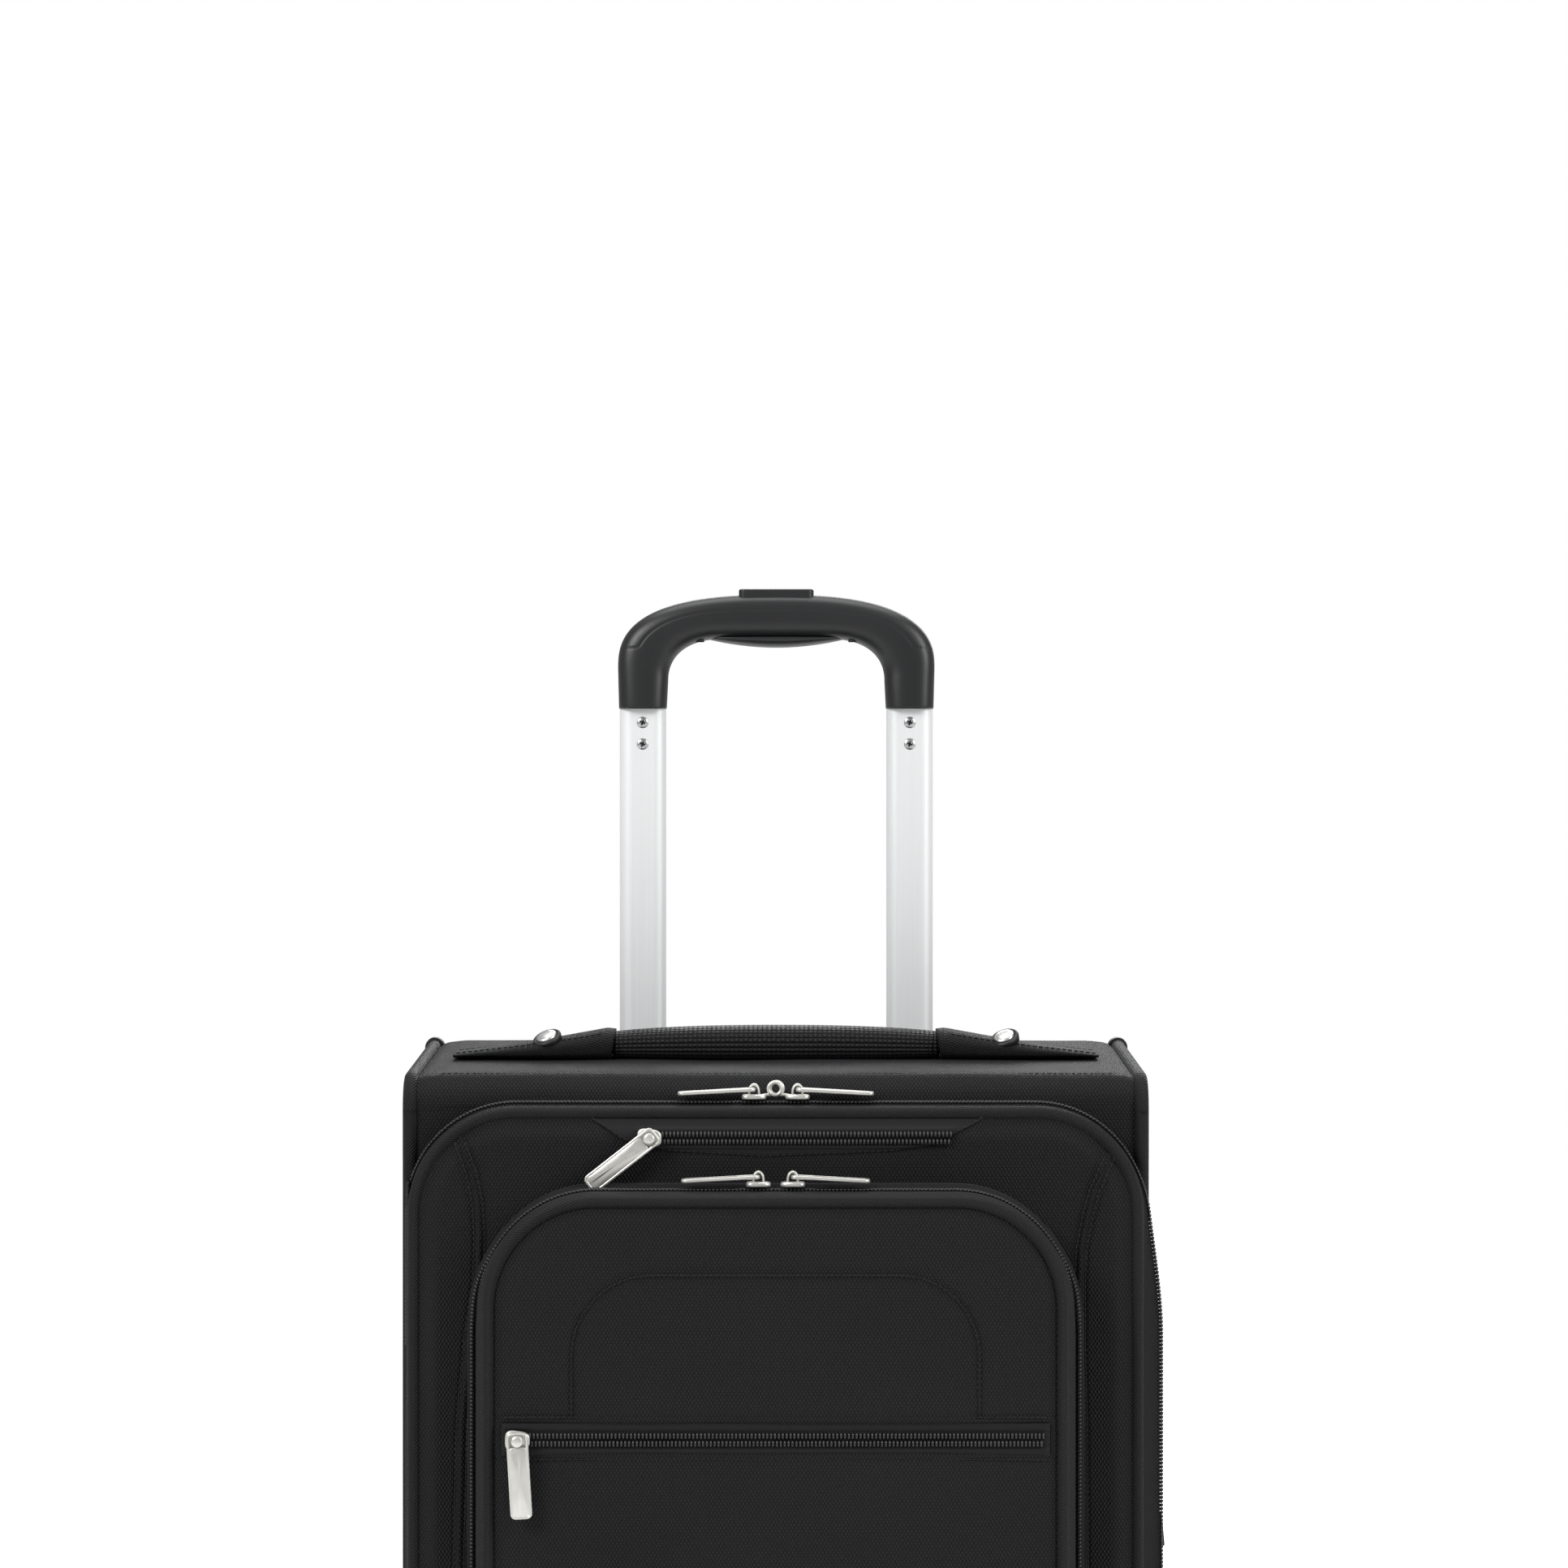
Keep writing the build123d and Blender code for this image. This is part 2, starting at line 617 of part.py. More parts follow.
# ---- trolley handle -----------------------------------------------------------------------------
with BuildPart() as mid_tubes:
    with BuildSketch(Plane.XY.offset(MID_BOTTOM)):
        tube_outline(MID_TUBE)
        tube_outline(MID_TUBE, MID_WALL, mode=Mode.SUBTRACT)
    extrude(amount=MID_TOP - MID_BOTTOM)
save(mid_tubes.part, "mid_tubes")

with BuildPart() as mid_collars:
    with BuildSketch(Plane.XY.offset(MID_TOP)):
        tube_outline(MID_TUBE)
        tube_outline(INNER_TUBE, -0.2, mode=Mode.SUBTRACT)
    extrude(amount=8)
save(mid_collars.part, "mid_collars")

SCREW_HEIGHTS = (GRIP_BOTTOM - 6.8, GRIP_BOTTOM - 17.4)
SCREW_SHANK = 1.3
SCREW_HEAD = 2.8
tube_front_y = TUBE_Y - INNER_TUBE[1] / 2
screw_places = [(side * TUBE_X, z) for side in (-1, 1) for z in SCREW_HEIGHTS]


def screw_holes():
    """Drills the four screw holes through the front of an open part, up to the rod channel."""
    with BuildSketch(front_plane(TUBE_Y - 3.4)) as holes:
        with Locations(*screw_places):
            Circle(SCREW_SHANK)
    extrude(holes.sketch, amount=6, mode=Mode.SUBTRACT)


with BuildPart() as inner_tubes:
    with BuildSketch(Plane.XY.offset(INNER_BOTTOM)):
        tube_outline(INNER_TUBE)
        tube_outline(INNER_TUBE, INNER_WALL, mode=Mode.SUBTRACT)
    extrude(amount=GRIP_BOTTOM - INNER_BOTTOM)
    screw_holes()
save(inner_tubes.part, "inner_tubes")

with BuildPart() as lock_plugs:
    with BuildSketch(Plane.XY.offset(INNER_BOTTOM)):
        tube_outline(INNER_TUBE, INNER_WALL)
    extrude(amount=18)
    with BuildSketch(Plane.XY.offset(INNER_BOTTOM + 3)):
        with Locations((-ROD_X, TUBE_Y), (ROD_X, TUBE_Y)):
            Circle(2.6)
    extrude(amount=15, mode=Mode.SUBTRACT)
save(lock_plugs.part, "lock_plugs")

SPIGOT_LENGTH = 30.0
with BuildPart() as grip_body:
    with BuildLine(front_plane(TUBE_Y)) as grip_path:
        FilletPolyline(
            (-TUBE_X, GRIP_BOTTOM),
            (-TUBE_X, GRIP_CORNER_Z),
            (0, GRIP_CROWN_Z),
            (TUBE_X, GRIP_CORNER_Z),
            (TUBE_X, GRIP_BOTTOM),
            radius=[22, 420, 22],
        )
    with BuildSketch(Plane((-TUBE_X, TUBE_Y, GRIP_BOTTOM))):
        RectangleRounded(GRIP_WIDTH, GRIP_DEPTH, GRIP_EDGE)
    sweep(path=grip_path.line)
    with BuildSketch(Plane.XY.offset(GRIP_BOTTOM - SPIGOT_LENGTH)):
        tube_outline(INNER_TUBE, INNER_WALL)
    extrude(amount=SPIGOT_LENGTH)
    channel_end = LINK_HALF_LENGTH + 0.5
    channel = (-channel_end, channel_end)
    block(channel, (TUBE_Y - 5, TUBE_Y + 5), (CHANNEL_BOTTOM, CHANNEL_TOP), mode=Mode.SUBTRACT)
    block((-35, 35), (TUBE_Y - 8, TUBE_Y + 8), (730, CHANNEL_BOTTOM), mode=Mode.SUBTRACT)
    well_floor = BUTTON_BASE - BUTTON_TRAVEL - 0.7
    block((-18.8, 18.8), (TUBE_Y - 7.5, TUBE_Y + 7.5), (well_floor, 790), mode=Mode.SUBTRACT)
    with BuildSketch(Plane.XY.offset(GRIP_BOTTOM - SPIGOT_LENGTH)):
        with Locations((-ROD_X, TUBE_Y), (ROD_X, TUBE_Y)):
            Circle(2.8)
    extrude(amount=CHANNEL_BOTTOM + 1 - GRIP_BOTTOM + SPIGOT_LENGTH, mode=Mode.SUBTRACT)
    screw_holes()
save(grip_body.part, "grip_body")

with BuildPart() as grip_under_cover:
    block((-34.8, 34.8), (TUBE_Y - 7.8, TUBE_Y + 7.8), (742.3, CHANNEL_BOTTOM - 0.1))
    fillet(grip_under_cover.edges().group_by(Axis.Z)[0].filter_by(Axis.X), 2)
save(grip_under_cover.part, "grip_under_cover")

with BuildPart() as tube_screws:
    with BuildSketch(front_plane(tube_front_y + 3.6)):
        with Locations(*screw_places):
            Circle(SCREW_SHANK)
    extrude(amount=3.6)
    with BuildSketch(front_plane(tube_front_y)):
        with Locations(*screw_places):
            Circle(SCREW_HEAD)
    extrude(amount=1.3)
save(tube_screws.part, "tube_screws")

with BuildPart() as release_rods:
    with BuildSketch(Plane.XY.offset(INNER_BOTTOM + 7)):
        with Locations((-ROD_X, TUBE_Y), (ROD_X, TUBE_Y)):
            Circle(2)
    extrude(amount=LINK_BOTTOM - INNER_BOTTOM - 7)
    block((-LINK_HALF_LENGTH, LINK_HALF_LENGTH), (TUBE_Y - 4, TUBE_Y + 4), (LINK_BOTTOM, BUTTON_BASE))
save(release_rods.part, "release_rods")

with BuildPart() as push_button:
    block((-18.4, 18.4), (TUBE_Y - 7.1, TUBE_Y + 7.1), (BUTTON_BASE, BUTTON_TOP))
    fillet(push_button.edges().filter_by(Axis.Z), 3)
    fillet(push_button.edges().group_by(Axis.Z)[-1], 1)
save(push_button.part, "push_button")

SPRING_WIRE = 0.35
with BuildPart() as button_spring:
    with BuildLine() as coil:
        Helix(pitch=1.75, height=4.5, radius=3.2, center=(0, TUBE_Y, CHANNEL_BOTTOM + 0.5))
    with BuildSketch(Plane(origin=coil.line @ 0, z_dir=coil.line % 0)):
        Circle(SPRING_WIRE)
    sweep(path=coil.line, is_frenet=True)
save(button_spring.part, "button_spring")

# ---- zip sliders and pulls ---------------------------------------------------------------------------
SLIDER_LENGTH = 11.0
SLIDER_WIDTH = 9.0
SLIDER_BODY = 3.0
PIVOT_HEIGHT = 4.6


def bridge_slider(plane):
    """A slider whose bridge arches along its travel: plane x is the travel, plane z stands off the coil."""
    with BuildPart() as slider:
        with BuildSketch(plane):
            RectangleRounded(SLIDER_LENGTH, SLIDER_WIDTH, 2.5)
        extrude(amount=SLIDER_BODY)
        side_on = Plane(plane.origin, x_dir=plane.x_dir, z_dir=-plane.y_dir)
        with BuildSketch(side_on):
            window(-5.0, 5.0, SLIDER_BODY, SLIDER_BODY + 4.8, mode=Mode.ADD)
            window(-3.4, 3.4, SLIDER_BODY, SLIDER_BODY + 3.4, mode=Mode.SUBTRACT)
        extrude(amount=1.2, both=True)
    return slider.part


def looped_pull(plane):
    """A flat pull whose cross bar sits under the bridge at the plane's origin; it reaches along plane x."""
    with BuildPart() as pull:
        with BuildSketch(plane.offset(-0.8)):
            window(-0.8, PULL_LENGTH - 0.8, -PULL_WIDTH / 2, PULL_WIDTH / 2, mode=Mode.ADD)
            window(0.8, 9.5, -1.8, 1.8, mode=Mode.SUBTRACT)
        extrude(amount=1.6)
    return pull.part


def post_slider(plane):
    """A slider with a headed post, for a pull that hangs flat against the panel."""
    with BuildPart() as slider:
        with BuildSketch(plane):
            RectangleRounded(SLIDER_LENGTH, SLIDER_WIDTH, 2.5)
        extrude(amount=SLIDER_BODY)
        for radius, start, height in ((1.5, SLIDER_BODY, 2.6), (3.2, SLIDER_BODY + 2.6, 1.0)):
            with BuildSketch(plane.offset(start)):
                Circle(radius)
            extrude(amount=height)
    return slider.part


def hanging_pull(plane):
    """A flat pull with a round eye about the plane's origin; it reaches along plane x."""
    with BuildPart() as pull:
        with BuildSketch(plane.offset(SLIDER_BODY + 0.4)):
            window(-4.0, PULL_LENGTH - 4.0, -PULL_WIDTH / 2, PULL_WIDTH / 2, mode=Mode.ADD)
            Circle(1.9, mode=Mode.SUBTRACT)
        extrude(amount=1.8)
    return pull.part


MAIN_SLIDER_Z = 531.2
POCKET_SLIDER_Z = 493.4
POCKET_SLIDER_Y = -110.4
for zip_name, offset_x, slider_y, slider_z in (
    ("main", MAIN_SLIDER_X, ZIP_PARTING_Y, MAIN_SLIDER_Z),
    ("pocket", POCKET_SLIDER_X, POCKET_SLIDER_Y, POCKET_SLIDER_Z),
):
    for side_name, side in (("left", -1), ("right", 1)):
        place = (side * offset_x, slider_y, slider_z)
        save(bridge_slider(Plane(place)), f"{zip_name}_slider_{side_name}")
        pivot = (side * offset_x, slider_y, slider_z + PIVOT_HEIGHT)
        save(looped_pull(Plane(pivot, x_dir=(side, 0, 0))), f"{zip_name}_pull_{side_name}")

QUICK_SLIDER_X = -57.5
PANEL_SLIDER_X = -116.0
ZIP_FACE_GAP = 1.8
for zip_name, slider_x, slider_z, face_y, reach in (
    ("quick", QUICK_SLIDER_X, QUICK_ZIP_Z, LID_FACE_Y, (-0.788, 0, -0.616)),
    ("panel", PANEL_SLIDER_X, PANEL_ZIP_Z, POCKET_FACE_Y, (0.06, 0, -0.998)),
):
    place = (slider_x, face_y - ZIP_FACE_GAP, slider_z)
    save(post_slider(Plane(place, x_dir=(1, 0, 0), z_dir=(0, -1, 0))), f"{zip_name}_slider")
    save(hanging_pull(Plane(place, x_dir=reach, z_dir=(0, -1, 0))), f"{zip_name}_pull")
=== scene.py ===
"""Softside upright suitcase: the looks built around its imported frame, in metres.

Every soft surface, zip, stitch and fitting is a numpy surface placed from the frame's own boxes.
"""

import bpy
import numpy as np
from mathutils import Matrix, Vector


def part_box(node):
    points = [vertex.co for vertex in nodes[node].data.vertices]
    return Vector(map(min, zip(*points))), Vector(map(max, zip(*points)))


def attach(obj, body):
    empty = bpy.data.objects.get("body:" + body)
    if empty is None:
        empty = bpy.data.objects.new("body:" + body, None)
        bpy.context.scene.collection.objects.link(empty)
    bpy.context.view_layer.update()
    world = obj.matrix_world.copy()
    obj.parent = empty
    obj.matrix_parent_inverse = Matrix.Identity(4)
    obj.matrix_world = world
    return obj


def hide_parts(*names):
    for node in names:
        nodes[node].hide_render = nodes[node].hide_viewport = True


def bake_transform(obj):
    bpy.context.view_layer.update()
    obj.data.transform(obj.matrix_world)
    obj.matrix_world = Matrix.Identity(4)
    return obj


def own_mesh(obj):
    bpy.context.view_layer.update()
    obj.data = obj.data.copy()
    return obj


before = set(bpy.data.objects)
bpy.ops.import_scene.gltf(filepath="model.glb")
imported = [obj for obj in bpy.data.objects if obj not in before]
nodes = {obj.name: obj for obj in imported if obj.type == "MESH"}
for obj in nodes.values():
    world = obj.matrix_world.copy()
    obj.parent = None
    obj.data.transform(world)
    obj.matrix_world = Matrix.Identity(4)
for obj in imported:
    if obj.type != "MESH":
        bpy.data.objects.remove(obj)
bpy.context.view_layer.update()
MM = 0.001
TAU = 2 * np.pi


def box(name):
    """A node's lowest and highest corners as arrays."""
    low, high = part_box(name)
    return np.array(low), np.array(high)


# ---- sizes read from the frame ------------------------------------------------------------------
PIPE = 3.3 * MM
EDGE_X = box("edge_piping")[1][0] - PIPE
CASE_FRONT, CASE_BACK = box("top_gusset")[0][1], box("back_panel")[1][1]
CASE_LOW, CASE_HIGH = box("back_panel")[0][2], 548 * MM
TOP_DROP = 6.5 * MM
SHOULDER = 14 * MM
REAR_RADIUS = 10 * MM
lid_low, lid_high = box("lid_piping")
LID_W = (lid_high[0] - lid_low[0]) / 2 - PIPE
LID_LOW, LID_TOP = lid_low[2] + PIPE, lid_high[2] - PIPE
LID_Y = (lid_low[1] + lid_high[1]) / 2
LID_R = 46 * MM
LID_FACE = box("lid_panel")[0][1]
pocket_low, pocket_high = box("pocket_piping")
POCKET_PIPE = 3.0 * MM
POCKET_W = pocket_high[0] - POCKET_PIPE
POCKET_LOW, POCKET_TOP = pocket_low[2] + POCKET_PIPE, pocket_high[2] - POCKET_PIPE
POCKET_Y = (pocket_low[1] + pocket_high[1]) / 2
POCKET_R = 48 * MM
PANEL_ZIP_Z = (box("panel_zip")[0][2] + box("panel_zip")[1][2]) / 2
QUICK_Z = (box("quick_zip")[0][2] + box("quick_zip")[1][2]) / 2
TUBE_Y = (box("inner_tubes")[0][1] + box("inner_tubes")[1][1]) / 2
TUBE_X = 65.6 * MM
PARTING_Y = -80 * MM
MIDDLE = np.array([0.0, 0.02, 0.3])

# ---- meshes -------------------------------------------------------------------------------------


def smooth_step(t):
    """Cubic ease from 0 to 1 as t goes from 0 to 1."""
    t = np.clip(t, 0.0, 1.0)
    return t * t * (3 - 2 * t)


def grid_quads(rows, cols, wrap_rows=False, wrap_cols=False):
    """Four corners for each cell of a rows by cols grid of points, closed either way if asked."""
    r, c = np.meshgrid(np.arange(rows - (not wrap_rows)), np.arange(cols - (not wrap_cols)), indexing="ij")
    r2, c2 = (r + 1) % rows, (c + 1) % cols
    return np.stack([r * cols + c, r * cols + c2, r2 * cols + c2, r2 * cols + c], -1).reshape(-1, 4)


def outward(points, quads, facing=None, about=None):
    """The faces turned to face a direction, or away from a point; a closed form needs neither."""
    p0, p1, p2, p3 = (points[quads[:, k]] for k in range(4))
    normal = np.cross(p2 - p0, p3 - p1)
    if facing is not None:
        total = (normal @ np.asarray(facing, float)).sum()
    else:
        about = points.mean(0) if about is None else np.asarray(about, float)
        total = (normal * ((p0 + p1 + p2 + p3) / 4 - about)).sum()
    return quads if total >= 0 else quads[:, ::-1]


def end_quads(count):
    """Faces that close a ring with an even number of points."""
    step = np.arange(count // 2 - 1)
    return np.stack([step, step + 1, count - 2 - step, count - 1 - step], 1)


def tube_quads(rows, cols):
    """Faces of a grid closed round its columns, with both end rings closed."""
    first = end_quads(cols)[:, ::-1]
    return np.vstack([grid_quads(rows, cols, wrap_cols=True), first, end_quads(cols) + (rows - 1) * cols])


def mesh_piece(name, points, quads, uv=None, facing=None, about=None):
    """A smooth mesh object from points (n, 3), four-cornered faces (m, 4) and UVs (n, 2) in metres."""
    points = np.asarray(points, float)
    quads = outward(points, quads, facing, about)
    mesh = bpy.data.meshes.new(name)
    mesh.vertices.add(len(points))
    mesh.vertices.foreach_set("co", np.ascontiguousarray(points, np.float32).ravel())
    mesh.loops.add(quads.size)
    mesh.loops.foreach_set("vertex_index", np.ascontiguousarray(quads, np.int32).ravel())
    mesh.polygons.add(len(quads))
    mesh.polygons.foreach_set("loop_start", np.arange(0, quads.size, 4, dtype=np.int32))
    if uv is None:
        uv = points[:, [0, 2]]
    layer = mesh.uv_layers.new(name="cloth")
    layer.data.foreach_set("uv", np.ascontiguousarray(uv[quads.ravel()], np.float32).ravel())
    mesh.update(calc_edges=True)
    mesh.validate()
    mesh.shade_smooth()
    piece = bpy.data.objects.new(name, mesh)
    bpy.context.scene.collection.objects.link(piece)
    return piece


def apply_modifier(piece, kind, **values):
    """Adds one modifier with its values and makes its result the mesh."""
    modifier = piece.modifiers.new(kind.lower(), kind)
    for key, value in values.items():
        setattr(modifier, key, value)
    bpy.context.view_layer.objects.active = piece
    bpy.ops.object.modifier_apply(modifier=modifier.name)


def thicken(piece, thickness, outer=None, inner=None):
    """Gives an open sheet a wall behind its outer side; the two sides may have different finishes."""
    values = {"thickness": thickness, "offset": -1.0, "use_even_offset": False}
    if inner:
        piece.data.materials.append(LOOKS[outer])
        piece.data.materials.append(LOOKS[inner])
        values["material_offset"] = 1
    apply_modifier(piece, "SOLIDIFY", **values)


def join_meshes(name, pieces):
    """Joins mesh objects into one piece."""
    bpy.ops.object.select_all(action="DESELECT")
    for piece in pieces:
        piece.select_set(True)
    bpy.context.view_layer.objects.active = pieces[0]
    bpy.ops.object.join()
    pieces[0].name = name
    pieces[0].data.name = name
    return pieces[0]


# ---- lines that pieces follow --------------------------------------------------------------------


def distance_along(points):
    """How far along a broken line each of its points is."""
    return np.r_[0, np.cumsum(np.linalg.norm(np.diff(points, axis=0), axis=1))]


def points_at(points, at):
    """Points of a broken line at given distances along it."""
    length = distance_along(points)
    return np.stack([np.interp(at, length, points[:, k]) for k in range(points.shape[1])], 1)


def resample(points, step, closed=False):
    """Even points along a broken line, about a step apart."""
    if closed:
        points = np.vstack([points, points[:1]])
    total = distance_along(points)[-1]
    count = max(3, int(round(total / step)) + 1)
    even = points_at(points, np.linspace(0, total, count))
    return even[:-1] if closed else even


def rounded_outline(half_width, low, high, radius, count, radius_low=None):
    """Closed rounded rectangle, counter-clockwise from the middle of its lower edge, at even steps."""
    radius_low = radius if radius_low is None else radius_low
    arc = np.linspace(0, np.pi / 2, 33)
    parts = [[(0.0, low)]]
    corners = ((1, 0, -1, radius_low), (1, 1, 0, radius), (-1, 1, 1, radius), (-1, 0, 2, radius_low))
    for sx, sz, start, r in corners:
        centre = (sx * (half_width - r), high - r if sz else low + r)
        turn = start * np.pi / 2 + arc
        parts.append(np.stack([centre[0] + r * np.cos(turn), centre[1] + r * np.sin(turn)], 1))
    points = np.vstack(parts + [[(0.0, low)]])
    return points_at(points, np.linspace(0, distance_along(points)[-1], count, endpoint=False))


def rail(points, up, closed=False):
    """Tangent, side and up at each point of a line; up is a fixed direction or one for each point."""
    points = np.asarray(points, float)
    if closed:
        ahead, behind = np.roll(points, -1, 0), np.roll(points, 1, 0)
        tangent = ahead - behind
    else:
        tangent = np.gradient(points, axis=0)
    tangent /= np.linalg.norm(tangent, axis=1, keepdims=True)
    up = np.broadcast_to(np.asarray(up, float), points.shape)
    up = up - (up * tangent).sum(1, keepdims=True) * tangent
    up = up / np.linalg.norm(up, axis=1, keepdims=True)
    side = np.cross(tangent, up)
    return points, tangent, side, up


def sweep(name, line, profile, closed_line=False, closed_profile=True, facing=None, about=None):
    """A profile of (side, up) offsets carried along a rail; UV is metres round and along it."""
    points, _, side, up = line
    profile = np.asarray(profile, float)
    if profile.ndim == 2:
        profile = np.broadcast_to(profile, (len(points),) + profile.shape)
    surface = points[:, None] + profile[..., :1] * side[:, None] + profile[..., 1:] * up[:, None]
    rows, cols = surface.shape[:2]
    along = distance_along(points)
    around = distance_along(profile[0])
    uv = np.stack(np.broadcast_arrays(around[None, :], along[:, None]), -1).reshape(-1, 2)
    if closed_profile and not closed_line:
        quads = tube_quads(rows, cols)
    else:
        quads = grid_quads(rows, cols, closed_line, closed_profile)
    return mesh_piece(name, surface.reshape(-1, 3), quads, uv, facing, about)


def circle(radius, count=16, squash=1.0):
    """A round profile of (side, up) points."""
    turn = np.linspace(0, TAU, count, endpoint=False)
    return np.stack([radius * np.cos(turn), radius * squash * np.sin(turn)], 1)


def scatter(name, template, quads, line, at, across=0.0, lift=0.0):
    """Copies of a small closed form on a rail: template x runs along it, y across and z up."""
    points, tangent, side, up = line
    length = distance_along(points)
    def blend(values):
        return np.stack([np.interp(at, length, values[:, k]) for k in range(3)], 1)
    spot, t, s, u = (blend(v) for v in (points, tangent, side, up))
    across = np.broadcast_to(across, at.shape)[:, None]
    spot = spot + across * s + lift * u
    copies = (
        spot[:, None]
        + template[None, :, :1] * t[:, None]
        + template[None, :, 1:2] * s[:, None]
        + template[None, :, 2:] * u[:, None]
    )
    all_quads = quads[None] + (np.arange(len(at)) * len(template))[:, None, None]
    return mesh_piece(name, copies.reshape(-1, 3), all_quads.reshape(-1, 4))


def bead(length, width, height, rows=5, cols=8):
    """A small closed lozenge: rings of an ellipse whose size follows a half circle along x."""
    t = np.linspace(0, np.pi, rows + 2)
    ring = np.linspace(0, TAU, cols, endpoint=False)
    swell = np.maximum(np.sin(t), 0.02)[:, None] ** 0.55
    x = -length / 2 * np.cos(t)[:, None] + 0 * ring[None]
    y = width / 2 * swell * np.cos(ring)[None]
    z = height / 2 * swell * np.sin(ring)[None] + height / 2
    points = np.stack([x, y, z], -1).reshape(-1, 3)
    return points, outward(points, tube_quads(rows + 2, cols))


STITCH = bead(2.3 * MM, 0.62 * MM, 0.5 * MM, rows=3, cols=6)


def stitches(name, points, up, pitch=3.1 * MM, lift=-0.12 * MM, closed=False):
    """A row of thread stitches along a line, each a small bead half sunk in the cloth."""
    even = resample(np.asarray(points, float), 1.0 * MM, closed)
    if np.ndim(up) > 1:
        up = resample(np.asarray(up, float), 1.0 * MM) if len(up) == len(even) else up
    line = rail(even, up)
    total = np.linalg.norm(np.diff(even, axis=0), axis=1).sum()
    at = np.arange(pitch / 2, total, pitch)
    return scatter(name, *STITCH, line, at, lift=lift)


# ---- materials ----------------------------------------------------------------------------------


class Graph:
    """Short hand for adding shader nodes and links to one node tree."""

    def __init__(self, tree):
        self.tree = tree
        self.nodes = tree.nodes
        self.links = tree.links

    def add(self, kind, inputs=None, **values):
        node = self.nodes.new(kind)
        for key, value in values.items():
            setattr(node, key, value)
        for key, value in (inputs or {}).items():
            socket = node.inputs[key]
            if isinstance(value, bpy.types.NodeSocket):
                self.links.new(value, socket)
            else:
                socket.default_value = value
        return node

    def math(self, kind, a, b=0.0, c=None):
        inputs = {0: a, 1: b}
        if c is not None:
            inputs[2] = c
        return self.add("ShaderNodeMath", inputs, operation=kind).outputs[0]


def new_group(name, inputs, outputs):
    """A shader node group with named inputs (name, kind, default) and outputs (name, kind)."""
    tree = bpy.data.node_groups.new(name, "ShaderNodeTree")
    for label, kind, default in inputs:
        socket = tree.interface.new_socket(label, in_out="INPUT", socket_type=kind)
        if default is not None:
            socket.default_value = default
    for label, kind in outputs:
        tree.interface.new_socket(label, in_out="OUTPUT", socket_type=kind)
    graph = Graph(tree)
    return tree, graph, graph.add("NodeGroupInput"), graph.add("NodeGroupOutput")


def weave_group():
    """Staggered round floats of a dobby weave: height is the product of two diagonal cosines."""
    tree, g, start, end = new_group(
        "dot weave",
        [("Vector", "NodeSocketVector", None), ("Pitch", "NodeSocketFloat", 0.0017)],
        [("Height", "NodeSocketFloat"), ("Shade", "NodeSocketFloat")],
    )
    warp = g.add("ShaderNodeTexNoise", {"Vector": start.outputs[0], "Scale": 90.0, "Detail": 2.0})
    wobble = g.add(
        "ShaderNodeVectorMath",
        {0: warp.outputs["Color"], 1: (0.5, 0.5, 0.5)},
        operation="SUBTRACT",
    )
    small = g.add("ShaderNodeVectorMath", {0: wobble.outputs[0], "Scale": 0.0005}, operation="SCALE")
    placed = g.add("ShaderNodeVectorMath", {0: start.outputs[0], 1: small.outputs[0]}, operation="ADD")
    parts = g.add("ShaderNodeSeparateXYZ", {0: placed.outputs[0]})
    turn = g.math("DIVIDE", TAU, start.outputs[1])
    u = g.math("MULTIPLY", parts.outputs[0], turn)
    v = g.math("MULTIPLY", parts.outputs[1], g.math("MULTIPLY", turn, 0.62))
    rise = g.math("COSINE", g.math("ADD", u, v))
    fall = g.math("COSINE", g.math("SUBTRACT", u, v))
    dots = g.math("MULTIPLY", g.math("ADD", rise, 1.0), g.math("ADD", fall, 1.0))
    height = g.math("POWER", g.math("MULTIPLY", dots, 0.25), 0.7)
    fine = g.math("SINE", g.math("MULTIPLY", v, 6.0))
    total = g.math("ADD", height, g.math("MULTIPLY", fine, 0.10))
    patchy = g.add("ShaderNodeTexNoise", {"Vector": start.outputs[0], "Scale": 14.0, "Detail": 4.0})
    # Painted highlight and painted shade: the colour follows the float height, lighter on the raised floats
    # and darker in the hollows between them; the patchy noise adds random tone.
    shade = g.math("MULTIPLY_ADD", height, 1.05, g.math("MULTIPLY", patchy.outputs[0], 0.16))
    g.links.new(total, end.inputs[0])
    g.links.new(shade, end.inputs[1])
    return tree


def basket_group():
    """Two-by-two basket of a ballistic cloth: checks of threads running across and along."""
    tree, g, start, end = new_group(
        "basket weave",
        [("Vector", "NodeSocketVector", None), ("Pitch", "NodeSocketFloat", 0.0022)],
        [("Height", "NodeSocketFloat"), ("Shade", "NodeSocketFloat")],
    )
    parts = g.add("ShaderNodeSeparateXYZ", {0: start.outputs[0]})
    turn = g.math("DIVIDE", np.pi, start.outputs[1])
    u = g.math("MULTIPLY", parts.outputs[0], turn)
    v = g.math("MULTIPLY", parts.outputs[1], turn)
    sign = g.math("MULTIPLY", g.math("SINE", u), g.math("SINE", v))
    check = g.math("GREATER_THAN", sign, 0.0)
    bump_u = g.math("ABSOLUTE", g.math("SINE", u))
    bump_v = g.math("ABSOLUTE", g.math("SINE", v))
    over = g.math("MULTIPLY", g.math("POWER", bump_u, 0.6), g.math("POWER", bump_v, 0.6))
    ridge_u = g.math("ABSOLUTE", g.math("COSINE", u))
    ridge_v = g.math("ABSOLUTE", g.math("COSINE", v))
    ridges = g.add("ShaderNodeMix", {0: check, 2: ridge_u, 3: ridge_v}, data_type="FLOAT")
    height = g.math("MULTIPLY_ADD", ridges.outputs[0], -0.25, over)
    g.links.new(height, end.inputs[0])
    # Painted highlight and painted shade: the colour is lighter on the thread crowns and darker in the gaps
    # between the checks.
    g.links.new(g.math("MULTIPLY_ADD", over, 0.8, 0.15), end.inputs[1])
    return tree


